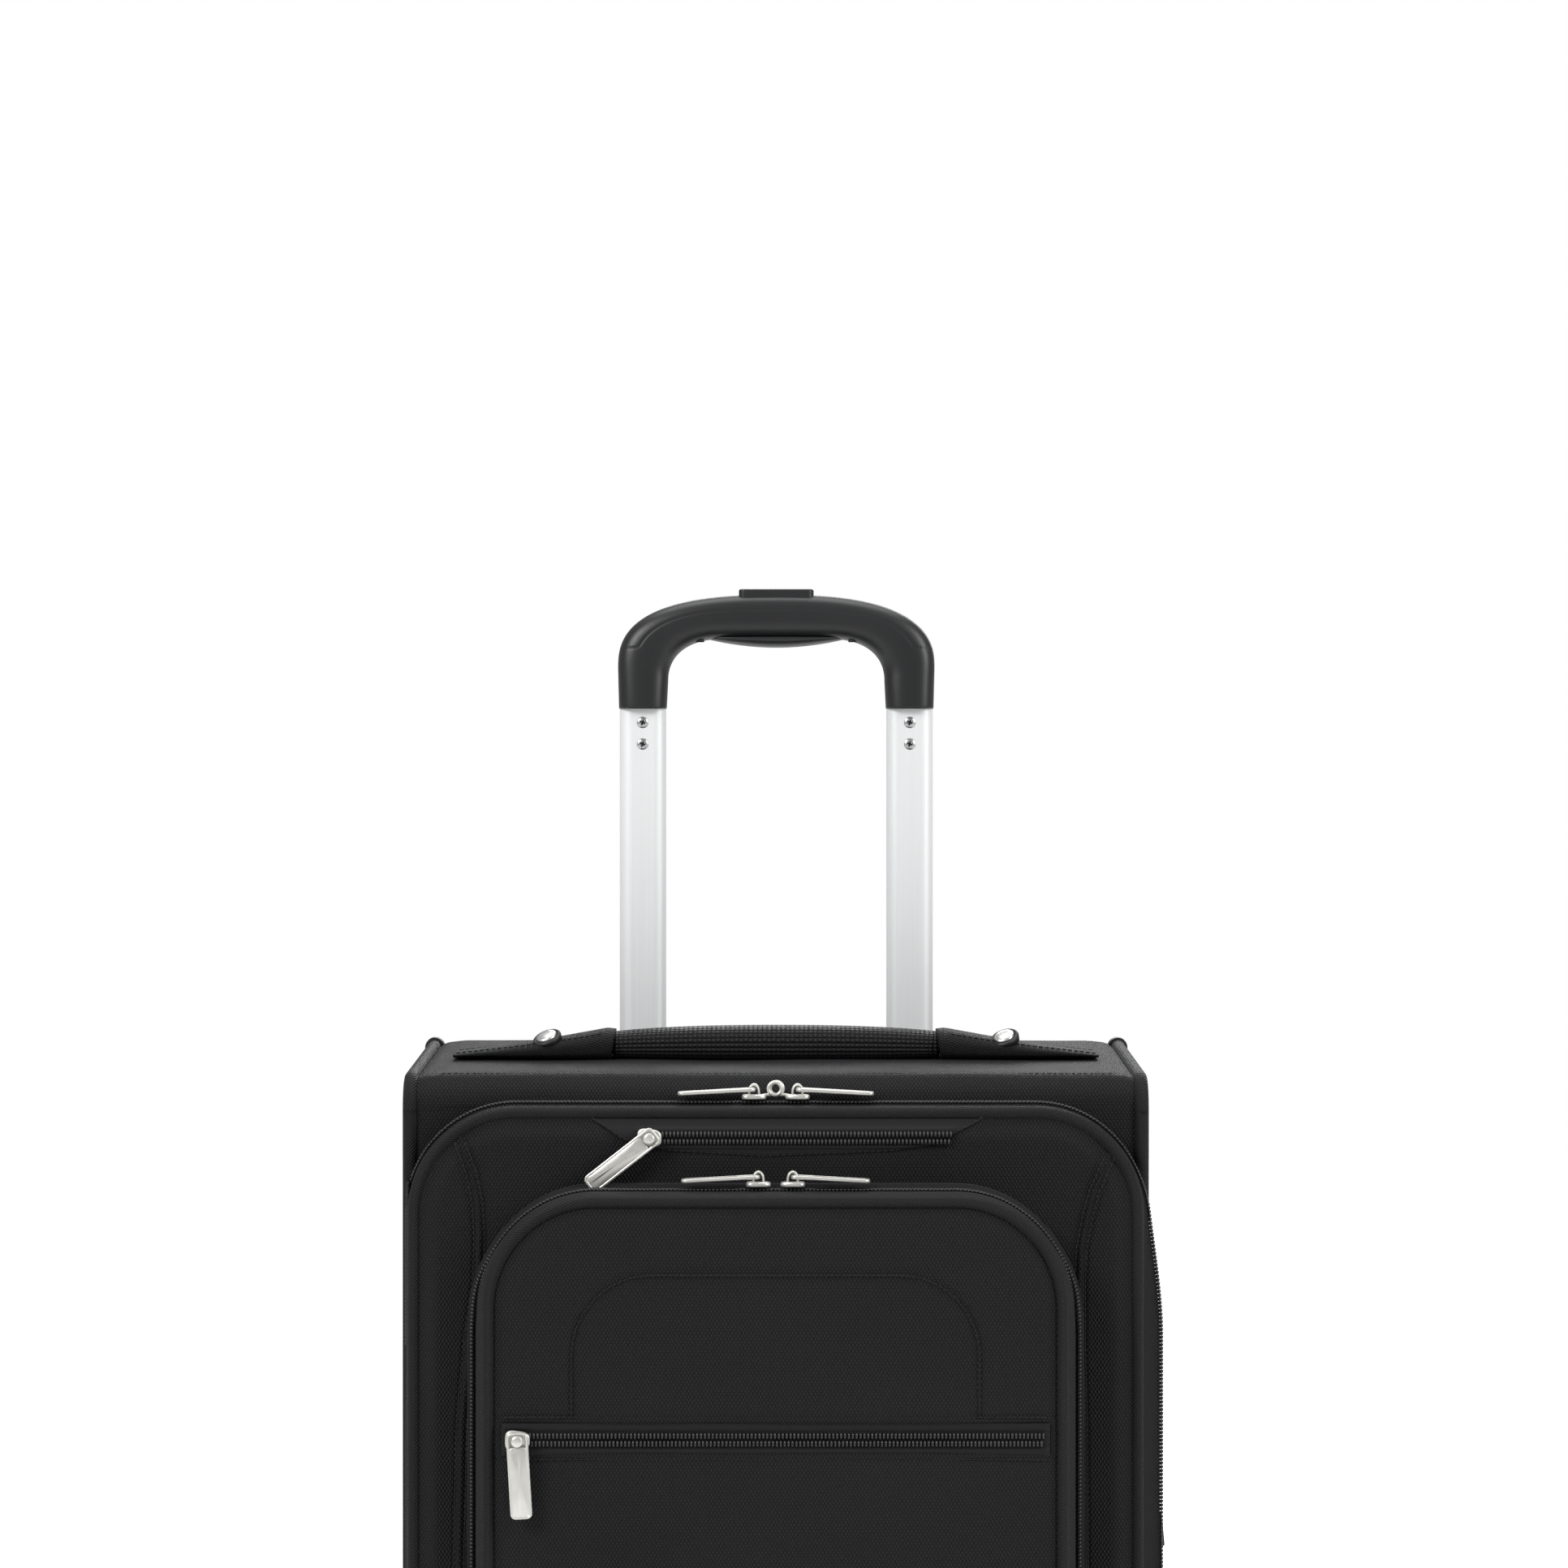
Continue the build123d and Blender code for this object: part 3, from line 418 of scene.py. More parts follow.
def rib_group():
    """Slanted or straight ribs of a twill tape or webbing: a rounded saw along one line."""
    tree, g, start, end = new_group(
        "ribs",
        [
            ("Vector", "NodeSocketVector", None),
            ("Pitch", "NodeSocketFloat", 0.001),
            ("Slant", "NodeSocketFloat", 0.8),
        ],
        [("Height", "NodeSocketFloat"), ("Shade", "NodeSocketFloat")],
    )
    parts = g.add("ShaderNodeSeparateXYZ", {0: start.outputs[0]})
    turn = g.math("DIVIDE", TAU, start.outputs[1])
    lean = g.math("MULTIPLY_ADD", parts.outputs[0], start.outputs[2], parts.outputs[1])
    rib = g.math("MULTIPLY_ADD", g.math("SINE", g.math("MULTIPLY", lean, turn)), 0.5, 0.5)
    yarn = g.math("SINE", g.math("MULTIPLY", parts.outputs[0], g.math("MULTIPLY", turn, 1.3)))
    height = g.math("MULTIPLY_ADD", yarn, 0.15, rib)
    g.links.new(height, end.inputs[0])
    # Painted highlight and painted shade: the colour is lighter on the rib crests and darker in the furrows
    # between them.
    g.links.new(g.math("MULTIPLY_ADD", rib, 0.6, 0.3), end.inputs[1])
    return tree


WEAVE, BASKET, RIBS = weave_group(), basket_group(), rib_group()


def new_material(name):
    """An empty node material with its surface shader and its graph."""
    material = bpy.data.materials.new(name)
    material.use_nodes = True
    graph = Graph(material.node_tree)
    shader = next(n for n in graph.nodes if n.type == "BSDF_PRINCIPLED")
    return material, graph, shader


def ramp(graph, value, dark, light):
    """Mixes two colours by a value."""
    mix = graph.add("ShaderNodeMix", {0: value, 6: (*dark, 1), 7: (*light, 1)}, data_type="RGBA")
    return mix.outputs[2]


def cloth(name, group, dark, light, depth, rough=0.78, sheen=0.08, slant=None, pitch=None, strength=0.9):
    """A woven fabric on the piece's cloth UVs: weave height to bump, weave shade to colour, which is
    painted highlight on the raised threads and painted shade between them.
    """
    material, g, shader = new_material(name)
    coords = g.add("ShaderNodeUVMap", uv_map="cloth")
    weave = g.add("ShaderNodeGroup", {}, node_tree=group)
    g.links.new(coords.outputs[0], weave.inputs[0])
    if pitch is not None:
        weave.inputs["Pitch"].default_value = pitch
    if slant is not None:
        weave.inputs["Slant"].default_value = slant
    place = g.add("ShaderNodeTexCoord")
    dust = g.add("ShaderNodeTexNoise", {"Vector": place.outputs["Object"], "Scale": 9.0, "Detail": 5.0})
    # The base colour mixes random dusty tone with the weave's painted highlight and painted shade.
    tone = g.math("MULTIPLY_ADD", dust.outputs[0], 0.35, g.math("MULTIPLY", weave.outputs[1], 0.75))
    g.links.new(ramp(g, tone, dark, light), shader.inputs["Base Color"])
    rough_at = g.math("MULTIPLY_ADD", weave.outputs[0], -0.16, rough + 0.06)
    g.links.new(rough_at, shader.inputs["Roughness"])
    bump = g.add("ShaderNodeBump", {"Strength": strength, "Distance": depth, "Height": weave.outputs[0]})
    g.links.new(bump.outputs[0], shader.inputs["Normal"])
    shader.inputs["Sheen Weight"].default_value = sheen
    shader.inputs["Sheen Roughness"].default_value = 0.45
    shader.inputs["Sheen Tint"].default_value = (0.35, 0.36, 0.40, 1)
    shader.inputs["Specular IOR Level"].default_value = 0.17
    return material


def plastic(name, dark, light, rough, grain, depth):
    """Moulded plastic: fine pebble grain with slightly rubbed high spots."""
    material, g, shader = new_material(name)
    place = g.add("ShaderNodeTexCoord")
    pebble = g.add("ShaderNodeTexVoronoi", {"Vector": place.outputs["Object"], "Scale": grain})
    cloud = g.add("ShaderNodeTexNoise", {"Vector": place.outputs["Object"], "Scale": 18.0, "Detail": 6.0})
    g.links.new(ramp(g, cloud.outputs[0], dark, light), shader.inputs["Base Color"])
    rough_at = g.math("MULTIPLY_ADD", cloud.outputs[0], 0.16, rough - 0.08)
    g.links.new(rough_at, shader.inputs["Roughness"])
    height = pebble.outputs["Distance"]
    bump = g.add("ShaderNodeBump", {"Strength": 0.5, "Distance": depth, "Height": height})
    g.links.new(bump.outputs[0], shader.inputs["Normal"])
    return material


def metal(name, dark, light, rough, stretch, scale, depth=0.00002, body=1.0):
    """Metal with fine streaks: noise stretched along one direction drives tone, gloss and bump."""
    material, g, shader = new_material(name)
    place = g.add("ShaderNodeTexCoord")
    mapped = g.add("ShaderNodeMapping", {"Vector": place.outputs["Object"], "Scale": stretch})
    streak = g.add("ShaderNodeTexNoise", {"Vector": mapped.outputs[0], "Scale": scale, "Detail": 4.0})
    g.links.new(ramp(g, streak.outputs[0], dark, light), shader.inputs["Base Color"])
    g.links.new(g.math("MULTIPLY_ADD", streak.outputs[0], 0.2, rough - 0.1), shader.inputs["Roughness"])
    bump = g.add("ShaderNodeBump", {"Strength": 0.4, "Distance": depth, "Height": streak.outputs[0]})
    g.links.new(bump.outputs[0], shader.inputs["Normal"])
    shader.inputs["Metallic"].default_value = body
    return material


def make_materials():
    """All the finishes of the case, by name."""
    # The shell's colour runs from black in the weave's painted-shade hollows to lit on its painted-highlit
    # floats, with random tone between.
    black, lit = (0.0006, 0.0006, 0.0008), (0.0185, 0.0186, 0.0203)
    return {
        "shell": cloth("dot weave cloth", WEAVE, black, lit, 0.0006, 0.62, sheen=0.05),
        "handle": cloth("ballistic cloth", BASKET, (0.0008, 0.0008, 0.0009), (0.016, 0.016, 0.017),
                        0.0009, 0.50, sheen=0.05),
        "tape": cloth("zip tape", RIBS, (0.006, 0.006, 0.006), (0.013, 0.013, 0.013), 0.00006,
                      rough=0.7, slant=0.0, pitch=0.0008, sheen=0.1),
        "piping": cloth("twill piping", RIBS, (0.0025, 0.0025, 0.0028), (0.016, 0.016, 0.017), 0.00034,
                        rough=0.62, slant=1.0, pitch=0.0016),
        "webbing": cloth("ribbed webbing", RIBS, (0.005, 0.005, 0.005), (0.018, 0.018, 0.019), 0.0004,
                         slant=0.0, pitch=0.0015),
        "lining": cloth("lining", RIBS, (0.10, 0.10, 0.105), (0.16, 0.16, 0.165), 0.00006,
                        slant=0.5, pitch=0.0007),
        "coil": plastic("zip coil", (0.012, 0.012, 0.012), (0.024, 0.024, 0.025), 0.30, 900.0, 0.00002),
        "thread": plastic("thread", (0.0022, 0.0022, 0.0022), (0.0045, 0.0045, 0.005),
                          0.8, 2500.0, 0.00003),
        "black": plastic("moulded black plastic", (0.008, 0.008, 0.008), (0.014, 0.014, 0.014),
                         0.5, 1500.0, 0.00005),
        "grip": plastic("satin grip", (0.0085, 0.0090, 0.0098), (0.0125, 0.0130, 0.0142),
                        0.40, 2600.0, 0.00003),
        "hub": plastic("hub plastic", (0.05, 0.05, 0.052), (0.08, 0.08, 0.083), 0.4, 1800.0, 0.00003),
        "rubber": plastic("wheel rubber", (0.010, 0.010, 0.010), (0.018, 0.018, 0.018),
                          0.66, 1200.0, 0.00006),
        "tube": metal("satin aluminium", (0.80, 0.81, 0.815), (0.87, 0.88, 0.885),
                      0.48, (1, 1, 0.01), 900.0, body=0.28),
        "nickel": metal("satin nickel", (0.66, 0.65, 0.61), (0.76, 0.75, 0.71),
                        0.36, (1, 1, 1), 300.0, body=0.72),
        "rivet": metal("rivet", (0.70, 0.70, 0.69), (0.80, 0.80, 0.79), 0.34, (1, 1, 1), 200.0),
        "steel": metal("steel", (0.45, 0.45, 0.45), (0.60, 0.60, 0.60), 0.3, (1, 1, 1), 400.0),
    }


LOOKS = make_materials()


def dress(piece, look, body, replaces=()):
    """Gives a piece its finish and its body, and hides the frame nodes that it replaces."""
    if look:
        piece.data.materials.clear()
        piece.data.materials.append(LOOKS[look])
    if body:
        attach(piece, body)
    if replaces:
        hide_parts(*replaces)
    return piece


# ---- soft panels --------------------------------------------------------------------------------


def drape(x, z, size):
    """Slow unevenness of stretched cloth: four crossing sine waves, from -size to size."""
    return size * 0.3 * (
        np.sin(x * 41.0 + z * 13.0 + 0.7)
        + np.sin(z * 37.0 - x * 9.0 + 2.1)
        + 0.7 * np.sin((x + z) * 71.0 + 4.0)
        + 0.6 * np.sin((x - z) * 83.0 + 1.3)
    )


def inside_depth(x, z, half_width, low, high, radius):
    """Distance inside a rounded rectangle's outline: positive within it."""
    middle, half_height = (low + high) / 2, (high - low) / 2
    qx = np.abs(x) - (half_width - radius)
    qz = np.abs(z - middle) - (half_height - radius)
    outside = np.hypot(np.maximum(qx, 0), np.maximum(qz, 0))
    return radius - outside - np.minimum(np.maximum(qx, qz), 0)


def panel_grid(half_width, low, high, radius, across, rows):
    """Points of an upright rounded panel: rows dense in its corners, columns at the given shares."""
    turn = np.linspace(0, np.pi / 2, 26)[:-1]
    z = np.r_[low + radius * (1 - np.cos(turn)), rows, (high - radius * (1 - np.cos(turn)))[::-1]]
    into = np.clip(np.maximum(low + radius - z, z - high + radius), 0, radius)
    width = half_width - radius + np.sqrt(radius**2 - into**2)
    return width[:, None] * across[None, :], np.repeat(z[:, None], len(across), 1)


def groove(distance, width, depth):
    """Depth of a sewn line at a distance from it, in the shape of a bell."""
    return depth * np.exp(-((distance / width) ** 2))


def cloth_piece(name, x, y, z, u, v, facing):
    """A cloth surface from its grids of places and of cloth UVs."""
    points = np.stack([x, y, z], -1).reshape(-1, 3)
    uv = np.stack([u, v], -1).reshape(-1, 2)
    return mesh_piece(name, points, grid_quads(*x.shape), uv, facing=facing)


def panel_piece(name, x, y, z):
    """A front-facing cloth panel from its grids."""
    return cloth_piece(name, x, y, z, x, z, (0, -1, 0))


# Stitched seams down both sides of the lid's front, as across and up.
LEFT_SEAM = np.array(
    [(-148, 523), (-144, 513), (-139, 500), (-136, 486), (-135, 470), (-135.6, 450),
     (-139.6, 424), (-143, 385), (-144.5, 319), (-145, 200), (-144, 120), (-140, 74)]
) * MM
RIGHT_SEAM = np.array(
    [(160, 521), (152, 506), (145, 490), (142, 478.8), (139.4, 465), (138.6, 450),
     (138.6, 420), (139.5, 385), (140, 319), (141, 200), (140, 120), (137, 74)]
) * MM


def seam_offset(x, z, seam):
    """Signed distance across from a seam that runs mostly downwards."""
    at = np.interp(z, seam[::-1, 1], seam[::-1, 0])
    slope = np.gradient(seam[::-1, 0], seam[::-1, 1])
    lean = np.interp(z, seam[::-1, 1], slope)
    return (x - at) / np.sqrt(1 + lean**2)


def make_lid_face():
    """The lid's front: crowned cloth that dips to its piping, with a raised strip along each seam."""
    fine = np.arange(0.128, 0.158, 0.00085)
    half = np.r_[np.linspace(0, 0.128, 26)[:-1], fine, np.linspace(0.158, LID_W, 7)] / LID_W
    across = np.r_[-half[::-1], half[1:]]
    rows = np.linspace(LID_LOW + LID_R, LID_TOP - LID_R, 190)
    x, z = panel_grid(LID_W, LID_LOW, LID_TOP, LID_R, across, rows)
    depth = inside_depth(x, z, LID_W, LID_LOW, LID_TOP, LID_R)
    y = LID_FACE + 5.5 * MM * (1 - smooth_step(depth / (13 * MM))) ** 1.5
    y -= 0.8 * MM * smooth_step(depth / (60 * MM)) + drape(x, z, 0.45 * MM) * smooth_step(depth / (30 * MM))
    for seam in (LEFT_SEAM, RIGHT_SEAM):
        off = seam_offset(x, z, seam)
        y -= 1.1 * MM * smooth_step(1 - np.abs(off) / (2.6 * MM))
        y += groove(np.abs(off) - 2.3 * MM, 0.75 * MM, 1.0 * MM)
        y += groove(off, 9 * MM, 0.9 * MM)
    face = panel_piece("lid_face", x, y, z)
    thicken(face, 1.6 * MM, "shell", "lining")
    dress(face, None, "lid", ["lid_panel"])
    for side, seam in (("left", LEFT_SEAM), ("right", RIGHT_SEAM)):
        for edge in (-1, 1):
            line = seam + np.array([edge * 2.4 * MM, 0])
            keep = (line[:, 1] < 0.518) & (line[:, 1] > 0.078)
            path = np.stack([line[keep, 0], np.full(keep.sum(), LID_FACE - 0.5 * MM), line[keep, 1]], 1)
            towards = "inner" if (edge > 0) == (side == "left") else "outer"
            row = stitches(f"lid_seam_stitches_{side}_{towards}", path, (0, -1, 0), 2.6 * MM,
                           lift=-0.25 * MM)
            dress(row, "thread", "lid")


def outline_rail(half_width, low, high, radius, y, count, grow=0.0, up=None):
    """A closed rail along an upright rounded outline; its side points outward unless up says so."""
    flat = rounded_outline(half_width + grow, low - grow, high + grow, radius + grow, count)
    points = np.stack([flat[:, 0], np.full(count, y), flat[:, 1]], 1)
    return rail(points, (0, -1, 0) if up is None else up, closed=True)


def make_piping():
    """Round corded edges of the lid and the pocket, covered in bias-cut twill."""
    lid = outline_rail(LID_W, LID_LOW, LID_TOP, LID_R, LID_Y, 900)
    piece = sweep("lid_cord", lid, circle(3.25 * MM, 18), closed_line=True)
    dress(piece, "piping", "lid", ["lid_piping"])
    pocket = outline_rail(POCKET_W, POCKET_LOW, POCKET_TOP, POCKET_R, POCKET_Y, 760)
    piece = sweep("pocket_cord", pocket, circle(2.95 * MM, 18), closed_line=True)
    dress(piece, "piping", "pocket", ["pocket_piping"])


ARCH_W, ARCH_TOP, ARCH_R = 91.8 * MM, 455 * MM, 36 * MM
SEAM_UP, SEAM_DOWN = PANEL_ZIP_Z + 8.6 * MM, PANEL_ZIP_Z - 7.2 * MM


def make_pocket_face():
    """The front pocket's face: crowned cloth with an arched sewn line above its cross zip."""
    half = np.linspace(0, 1, 96)
    across = np.r_[-half[::-1], half[1:]]
    middle = np.r_[np.linspace(POCKET_LOW + POCKET_R, SEAM_DOWN - 8 * MM, 80)[:-1],
                   np.arange(SEAM_DOWN - 8 * MM, POCKET_TOP - POCKET_R, 0.9 * MM)]
    x, z = panel_grid(POCKET_W, POCKET_LOW, POCKET_TOP, POCKET_R, across, middle)
    depth = inside_depth(x, z, POCKET_W, POCKET_LOW, POCKET_TOP, POCKET_R)
    y = -128 * MM + 4.4 * MM * (1 - smooth_step(depth / (9 * MM))) ** 1.6
    y -= 1.4 * MM * smooth_step(depth / (70 * MM)) + drape(x, z, 0.5 * MM) * smooth_step(depth / (30 * MM))
    arch = inside_depth(x, z, ARCH_W, ARCH_TOP - 300 * MM, ARCH_TOP, ARCH_R)
    above = smooth_step((z - SEAM_UP) / (2 * MM))
    y += groove(arch, 0.95 * MM, 1.1 * MM) * above
    y -= 0.7 * MM * smooth_step(arch / (10 * MM)) * above
    in_zip = smooth_step((z - SEAM_DOWN) / (1.6 * MM)) * smooth_step((SEAM_UP - z) / (1.6 * MM))
    in_zip = in_zip * smooth_step((0.1245 - np.abs(x)) / (2 * MM))
    y += 1.3 * MM * in_zip
    for seam in (SEAM_UP + 1.6 * MM, SEAM_DOWN - 1.6 * MM):
        y += groove(z - seam, 0.8 * MM, 0.55 * MM) * smooth_step(depth / (5 * MM))
    y = np.maximum(y, -130.5 * MM)
    face = panel_piece("pocket_face", x, y, z)
    thicken(face, 1.4 * MM, "shell", "lining")
    dress(face, None, "pocket", ["pocket_front"])
    turn = np.linspace(0, np.pi / 2, 14)
    arc = np.stack([ARCH_W - ARCH_R + ARCH_R * np.cos(turn), ARCH_TOP - ARCH_R + ARCH_R * np.sin(turn)], 1)
    right = np.vstack([[(ARCH_W, SEAM_UP + 3 * MM)], arc])
    line = np.vstack([right, right[::-1] * (-1, 1)])
    path = np.stack([line[:, 0], np.full(len(line), -128.55 * MM), line[:, 1]], 1)
    dress(stitches("pocket_arch_stitches", path, (0, -1, 0), 2.6 * MM, lift=0.15 * MM), "thread", "pocket")
    for name, seam in (("upper", SEAM_UP + 1.6 * MM), ("lower", SEAM_DOWN - 1.6 * MM)):
        path = np.array([(-0.1225, -0.12865, seam), (0.1225, -0.12865, seam)])
        row = stitches(f"pocket_zip_{name}_stitches", path, (0, -1, 0), 2.6 * MM)
        dress(row, "thread", "pocket")


# ---- zips ---------------------------------------------------------------------------------------

TOOTH = bead(1.25 * MM, 2.7 * MM, 1.9 * MM, rows=2, cols=6)
BIG_TOOTH = bead(1.3 * MM, 3.4 * MM, 2.2 * MM, rows=2, cols=8)


def coil_rows(names, line, tooth, reach, pitch=1.75 * MM, span=None, lift=-0.55 * MM):
    """The two rows of a coil on one rail, half a pitch apart, each reaching out to one side."""
    points = line[0]
    total = np.linalg.norm(np.diff(points, axis=0), axis=1).sum()
    start, end = span or (0.0, total)
    rows = []
    for name, side, shift in zip(names, (-1, 1), (0.0, 0.5)):
        at = np.arange(start + pitch * shift, end, pitch)
        rows.append(scatter(name, *tooth, line, at, across=side * reach, lift=lift))
    return rows


def lid_bulge(points):
    """How far the zip on the handle side stands out: it grows below the corner and fades at the foot."""
    x, z = points[:, 0], points[:, 2]
    side = smooth_step((x - 0.118) / 0.045)
    return 7.6 * MM * side * smooth_step((0.508 - z) / 0.085) * smooth_step((z - 0.078) / 0.06)


def zip_order(count):
    """Places on the lid's outline that the main zip runs along: all but the hinge's side."""
    flat = rounded_outline(LID_W, LID_LOW, LID_TOP, LID_R, count)
    kept = np.nonzero(flat[:, 0] > -0.128)[0]
    first = kept[np.argmax(np.diff(np.r_[kept[-1] - count - 9, kept]) > 1)]
    return (first + np.arange(len(kept))) % count


def zip_rail(grow, y, count=1500):
    """The main zip's rail round the lid, from below the hinge along the foot, up and back over the top."""
    flat = rounded_outline(LID_W + grow, LID_LOW - grow, LID_TOP + grow, LID_R + grow, count)
    flat = flat[zip_order(count)]
    points = np.stack([flat[:, 0], np.full(len(flat), y), flat[:, 1]], 1)
    points[:, 0] += lid_bulge(points)
    tangent = np.gradient(points, axis=0)
    tangent /= np.linalg.norm(tangent, axis=1, keepdims=True)
    return rail(points, np.cross(np.array([0, 1, 0.0]), tangent))


def ruled(name, first, second, rows=5, bow=None, facing=None):
    """A strip of cloth between two lines of points, bowed by an offset that peaks midway."""
    first, second = np.asarray(first), np.asarray(second)
    share = np.linspace(0, 1, rows)[:, None, None]
    surface = first[None] * (1 - share) + second[None] * share
    if bow is not None:
        surface = surface + np.asarray(bow)[None] * (4 * share * (1 - share))
    along = distance_along(first)
    wide = np.linalg.norm(second - first, axis=1).mean()
    uv = np.stack(np.broadcast_arrays(along[None, :], (share[:, :, 0] * wide)), -1).reshape(-1, 2)
    return mesh_piece(name, surface.reshape(-1, 3), grid_quads(*surface.shape[:2]), uv, facing, MIDDLE)


def make_main_zip():
    """The long zip that opens the lid: a tape and a row of coil on each side of the parting."""
    halves = (("case", 1, "body", ["main_zip_body"]), ("lid", -1, "lid", ["main_zip_lid"]))
    for body, sign, name, stands_for in halves:
        line = zip_rail(4.0 * MM, PARTING_Y)
        row = coil_rows([name + "_coil_a", name + "_coil_b"], line, TOOTH, 1.42 * MM)
        keep, drop = (row[1], row[0]) if sign * line[2][0][1] > 0 else (row[0], row[1])
        bpy.data.objects.remove(drop)
        keep.name = f"main_coil_{name}"
        dress(keep, "coil", body)
        near = zip_rail(3.7 * MM, PARTING_Y + sign * 0.25 * MM)[0]
        far = zip_rail(3.2 * MM, PARTING_Y + sign * 7 * MM)[0]
        if sign < 0:
            far = zip_rail(0.8 * MM, LID_Y + 1.2 * MM)[0].copy()
            far[:, 0] -= 0.94 * lid_bulge(far)
        tape = ruled(f"main_tape_{name}", near, far)
        thicken(tape, 0.9 * MM)
        dress(tape, "tape", body, stands_for)


def pocket_zip_rail(shift=0.0, count=1300):
    """The pocket zip's rail: flat on the lid beside the pocket, turning upright over its arch."""
    flat = rounded_outline(POCKET_W, POCKET_LOW, POCKET_TOP, POCKET_R, count)
    tangent = np.roll(flat, -1, 0) - np.roll(flat, 1, 0)
    tangent /= np.linalg.norm(tangent, axis=1, keepdims=True)
    out = np.stack([tangent[:, 1], np.zeros(count), -tangent[:, 0]], 1)
    lift = smooth_step((flat[:, 1] - 0.424) / 0.050)
    grow = 7.3 * MM * (1 - lift) + 3.9 * MM * lift + shift * (1 - lift)
    y = -100.9 * MM * (1 - lift) + (-110.4 * MM) * lift + shift * lift
    points = np.stack([flat[:, 0], y, flat[:, 1]], 1) + out * grow[:, None]
    up = out * lift[:, None] + np.array([0, -1, 0.0]) * (1 - lift[:, None])
    keep = points[:, 2] > 0.125
    start = int(np.argmax(keep & ~np.roll(keep, 1)))
    order = np.roll(np.arange(count), -start)[: int(keep.sum())]
    return points[order], up[order], out[order], flat[order]


def make_pocket_zip():
    """The pocket's gusset, its zip and the tape that stays on the lid."""
    points, up, out, flat = pocket_zip_rail()
    line = rail(points, up)
    rows = coil_rows(["pocket_coil_outer", "pocket_coil_inner"], line, TOOTH, 1.42 * MM)
    outward = (line[2] * out).sum(1).mean()
    outer, inner = (rows[1], rows[0]) if outward > 0 else (rows[0], rows[1])
    outer.name, inner.name = "pocket_coil_lid", "pocket_coil_front"
    dress(outer, "coil", "lid")
    dress(inner, "coil", "pocket")
    down = -up * 0.35 * MM
    mid_in = pocket_zip_rail(-0.25 * MM)[0] + down
    mid_out = pocket_zip_rail(0.25 * MM)[0] + down
    face = np.stack([flat[:, 0], np.full(len(flat), POCKET_Y + 2.2 * MM), flat[:, 1]], 1) + out * 1.6 * MM
    wall = ruled("pocket_gusset_cloth", face, mid_in, rows=9, bow=out * 0.9 * MM)
    thicken(wall, 0.9 * MM)
    dress(wall, "tape", "pocket", ["pocket_gusset"])
    lift = smooth_step((flat[:, 1] - 0.424) / 0.050)[:, None]
    foot = np.stack([flat[:, 0], np.full(len(flat), LID_FACE - 0.9 * MM), flat[:, 1]], 1)
    foot = foot + out * (11.0 * MM * (1 - lift) + 6.5 * MM * lift)
    tape = ruled("pocket_tape_lid", mid_out, foot, rows=7)
    thicken(tape, 0.8 * MM)
    dress(tape, "tape", "lid", ["pocket_zip_lid"])


def make_panel_zip():
    """The zip across the pocket's face: two tape lips with a coil between them."""
    x = np.linspace(-0.1235, 0.1235, 120)
    z = np.linspace(-7.4, 7.4, 40) * MM
    gx, gz = np.meshgrid(x, z)
    lips = groove(np.abs(gz) - 5.2 * MM, 1.3 * MM, 0.9 * MM)
    y = -127.9 * MM - lips - drape(gx, gz, 0.15 * MM)
    tape = panel_piece("panel_zip_tape", gx, y, gz + PANEL_ZIP_Z)
    thicken(tape, 0.7 * MM)
    dress(tape, "tape", "pocket", ["panel_zip"])
    line = rail(np.array([(t, -0.1281, PANEL_ZIP_Z) for t in np.linspace(-0.121, 0.121, 60)]), (0, -1, 0))
    rows = coil_rows(["panel_coil_upper", "panel_coil_lower"], line, BIG_TOOTH, 1.75 * MM)
    for row in rows:
        dress(row, "coil", "pocket")


QUICK_EDGE = np.array(
    [(-84, 523), (-79.8, 520.5), (-69, 513), (-58, 510), (-47.3, 508.0), (-4.8, 505.6),
     (52.8, 508.0), (64, 509.8), (74, 512.6), (90, 520.5), (94, 523)]
) * MM


def make_quick_zip():
    """The small pocket's zip near the lid's top edge, in a smooth patch with a sewn lower edge."""
    x = np.linspace(-83, 93, 130) * MM
    low = np.interp(x, QUICK_EDGE[:, 0], QUICK_EDGE[:, 1])
    share = np.linspace(0, 1, 34)[:, None]
    top = 523.2 * MM
    z = low[None] * (1 - share) + top * share
    gx = np.repeat(x[None], 34, 0)
    inset = inside_depth(gx, z, LID_W, LID_LOW, LID_TOP, LID_R)
    y = LID_FACE + 5.5 * MM * (1 - smooth_step(inset / (13 * MM))) ** 1.5 - 0.8 * MM
    y += 1.0 * MM * (1 - smooth_step(share / 0.10))
    lips = groove(np.abs(z - QUICK_Z) - 3.9 * MM, 1.0 * MM, 0.9 * MM)
    y = y - lips * smooth_step((gx + 0.066) / 4e-3) * smooth_step((0.084 - gx) / 4e-3)
    patch = panel_piece("quick_zip_tape", gx, y, z)
    dress(patch, "tape", "lid", ["quick_zip"])
    run = np.linspace(-0.062, 0.080, 60)
    line = rail(np.stack([run, np.full(60, LID_FACE - 1.0 * MM), np.full(60, QUICK_Z)], 1), (0, -1, 0))
    for row in coil_rows(["quick_coil_upper", "quick_coil_lower"], line, BIG_TOOTH, 1.7 * MM):
        dress(row, "coil", "lid")
    path = resample(np.stack([QUICK_EDGE[:, 0], np.full(len(QUICK_EDGE), LID_FACE - 0.75 * MM),
                              QUICK_EDGE[:, 1] + 1.1 * MM], 1), 1 * MM)
    dress(stitches("quick_zip_stitches", path, (0, -1, 0), 2.9 * MM), "thread", "lid")


make_lid_face()
make_piping()
make_pocket_face()
make_main_zip()
make_pocket_zip()
make_panel_zip()
make_quick_zip()


# ---- the case's shell ---------------------------------------------------------------------------


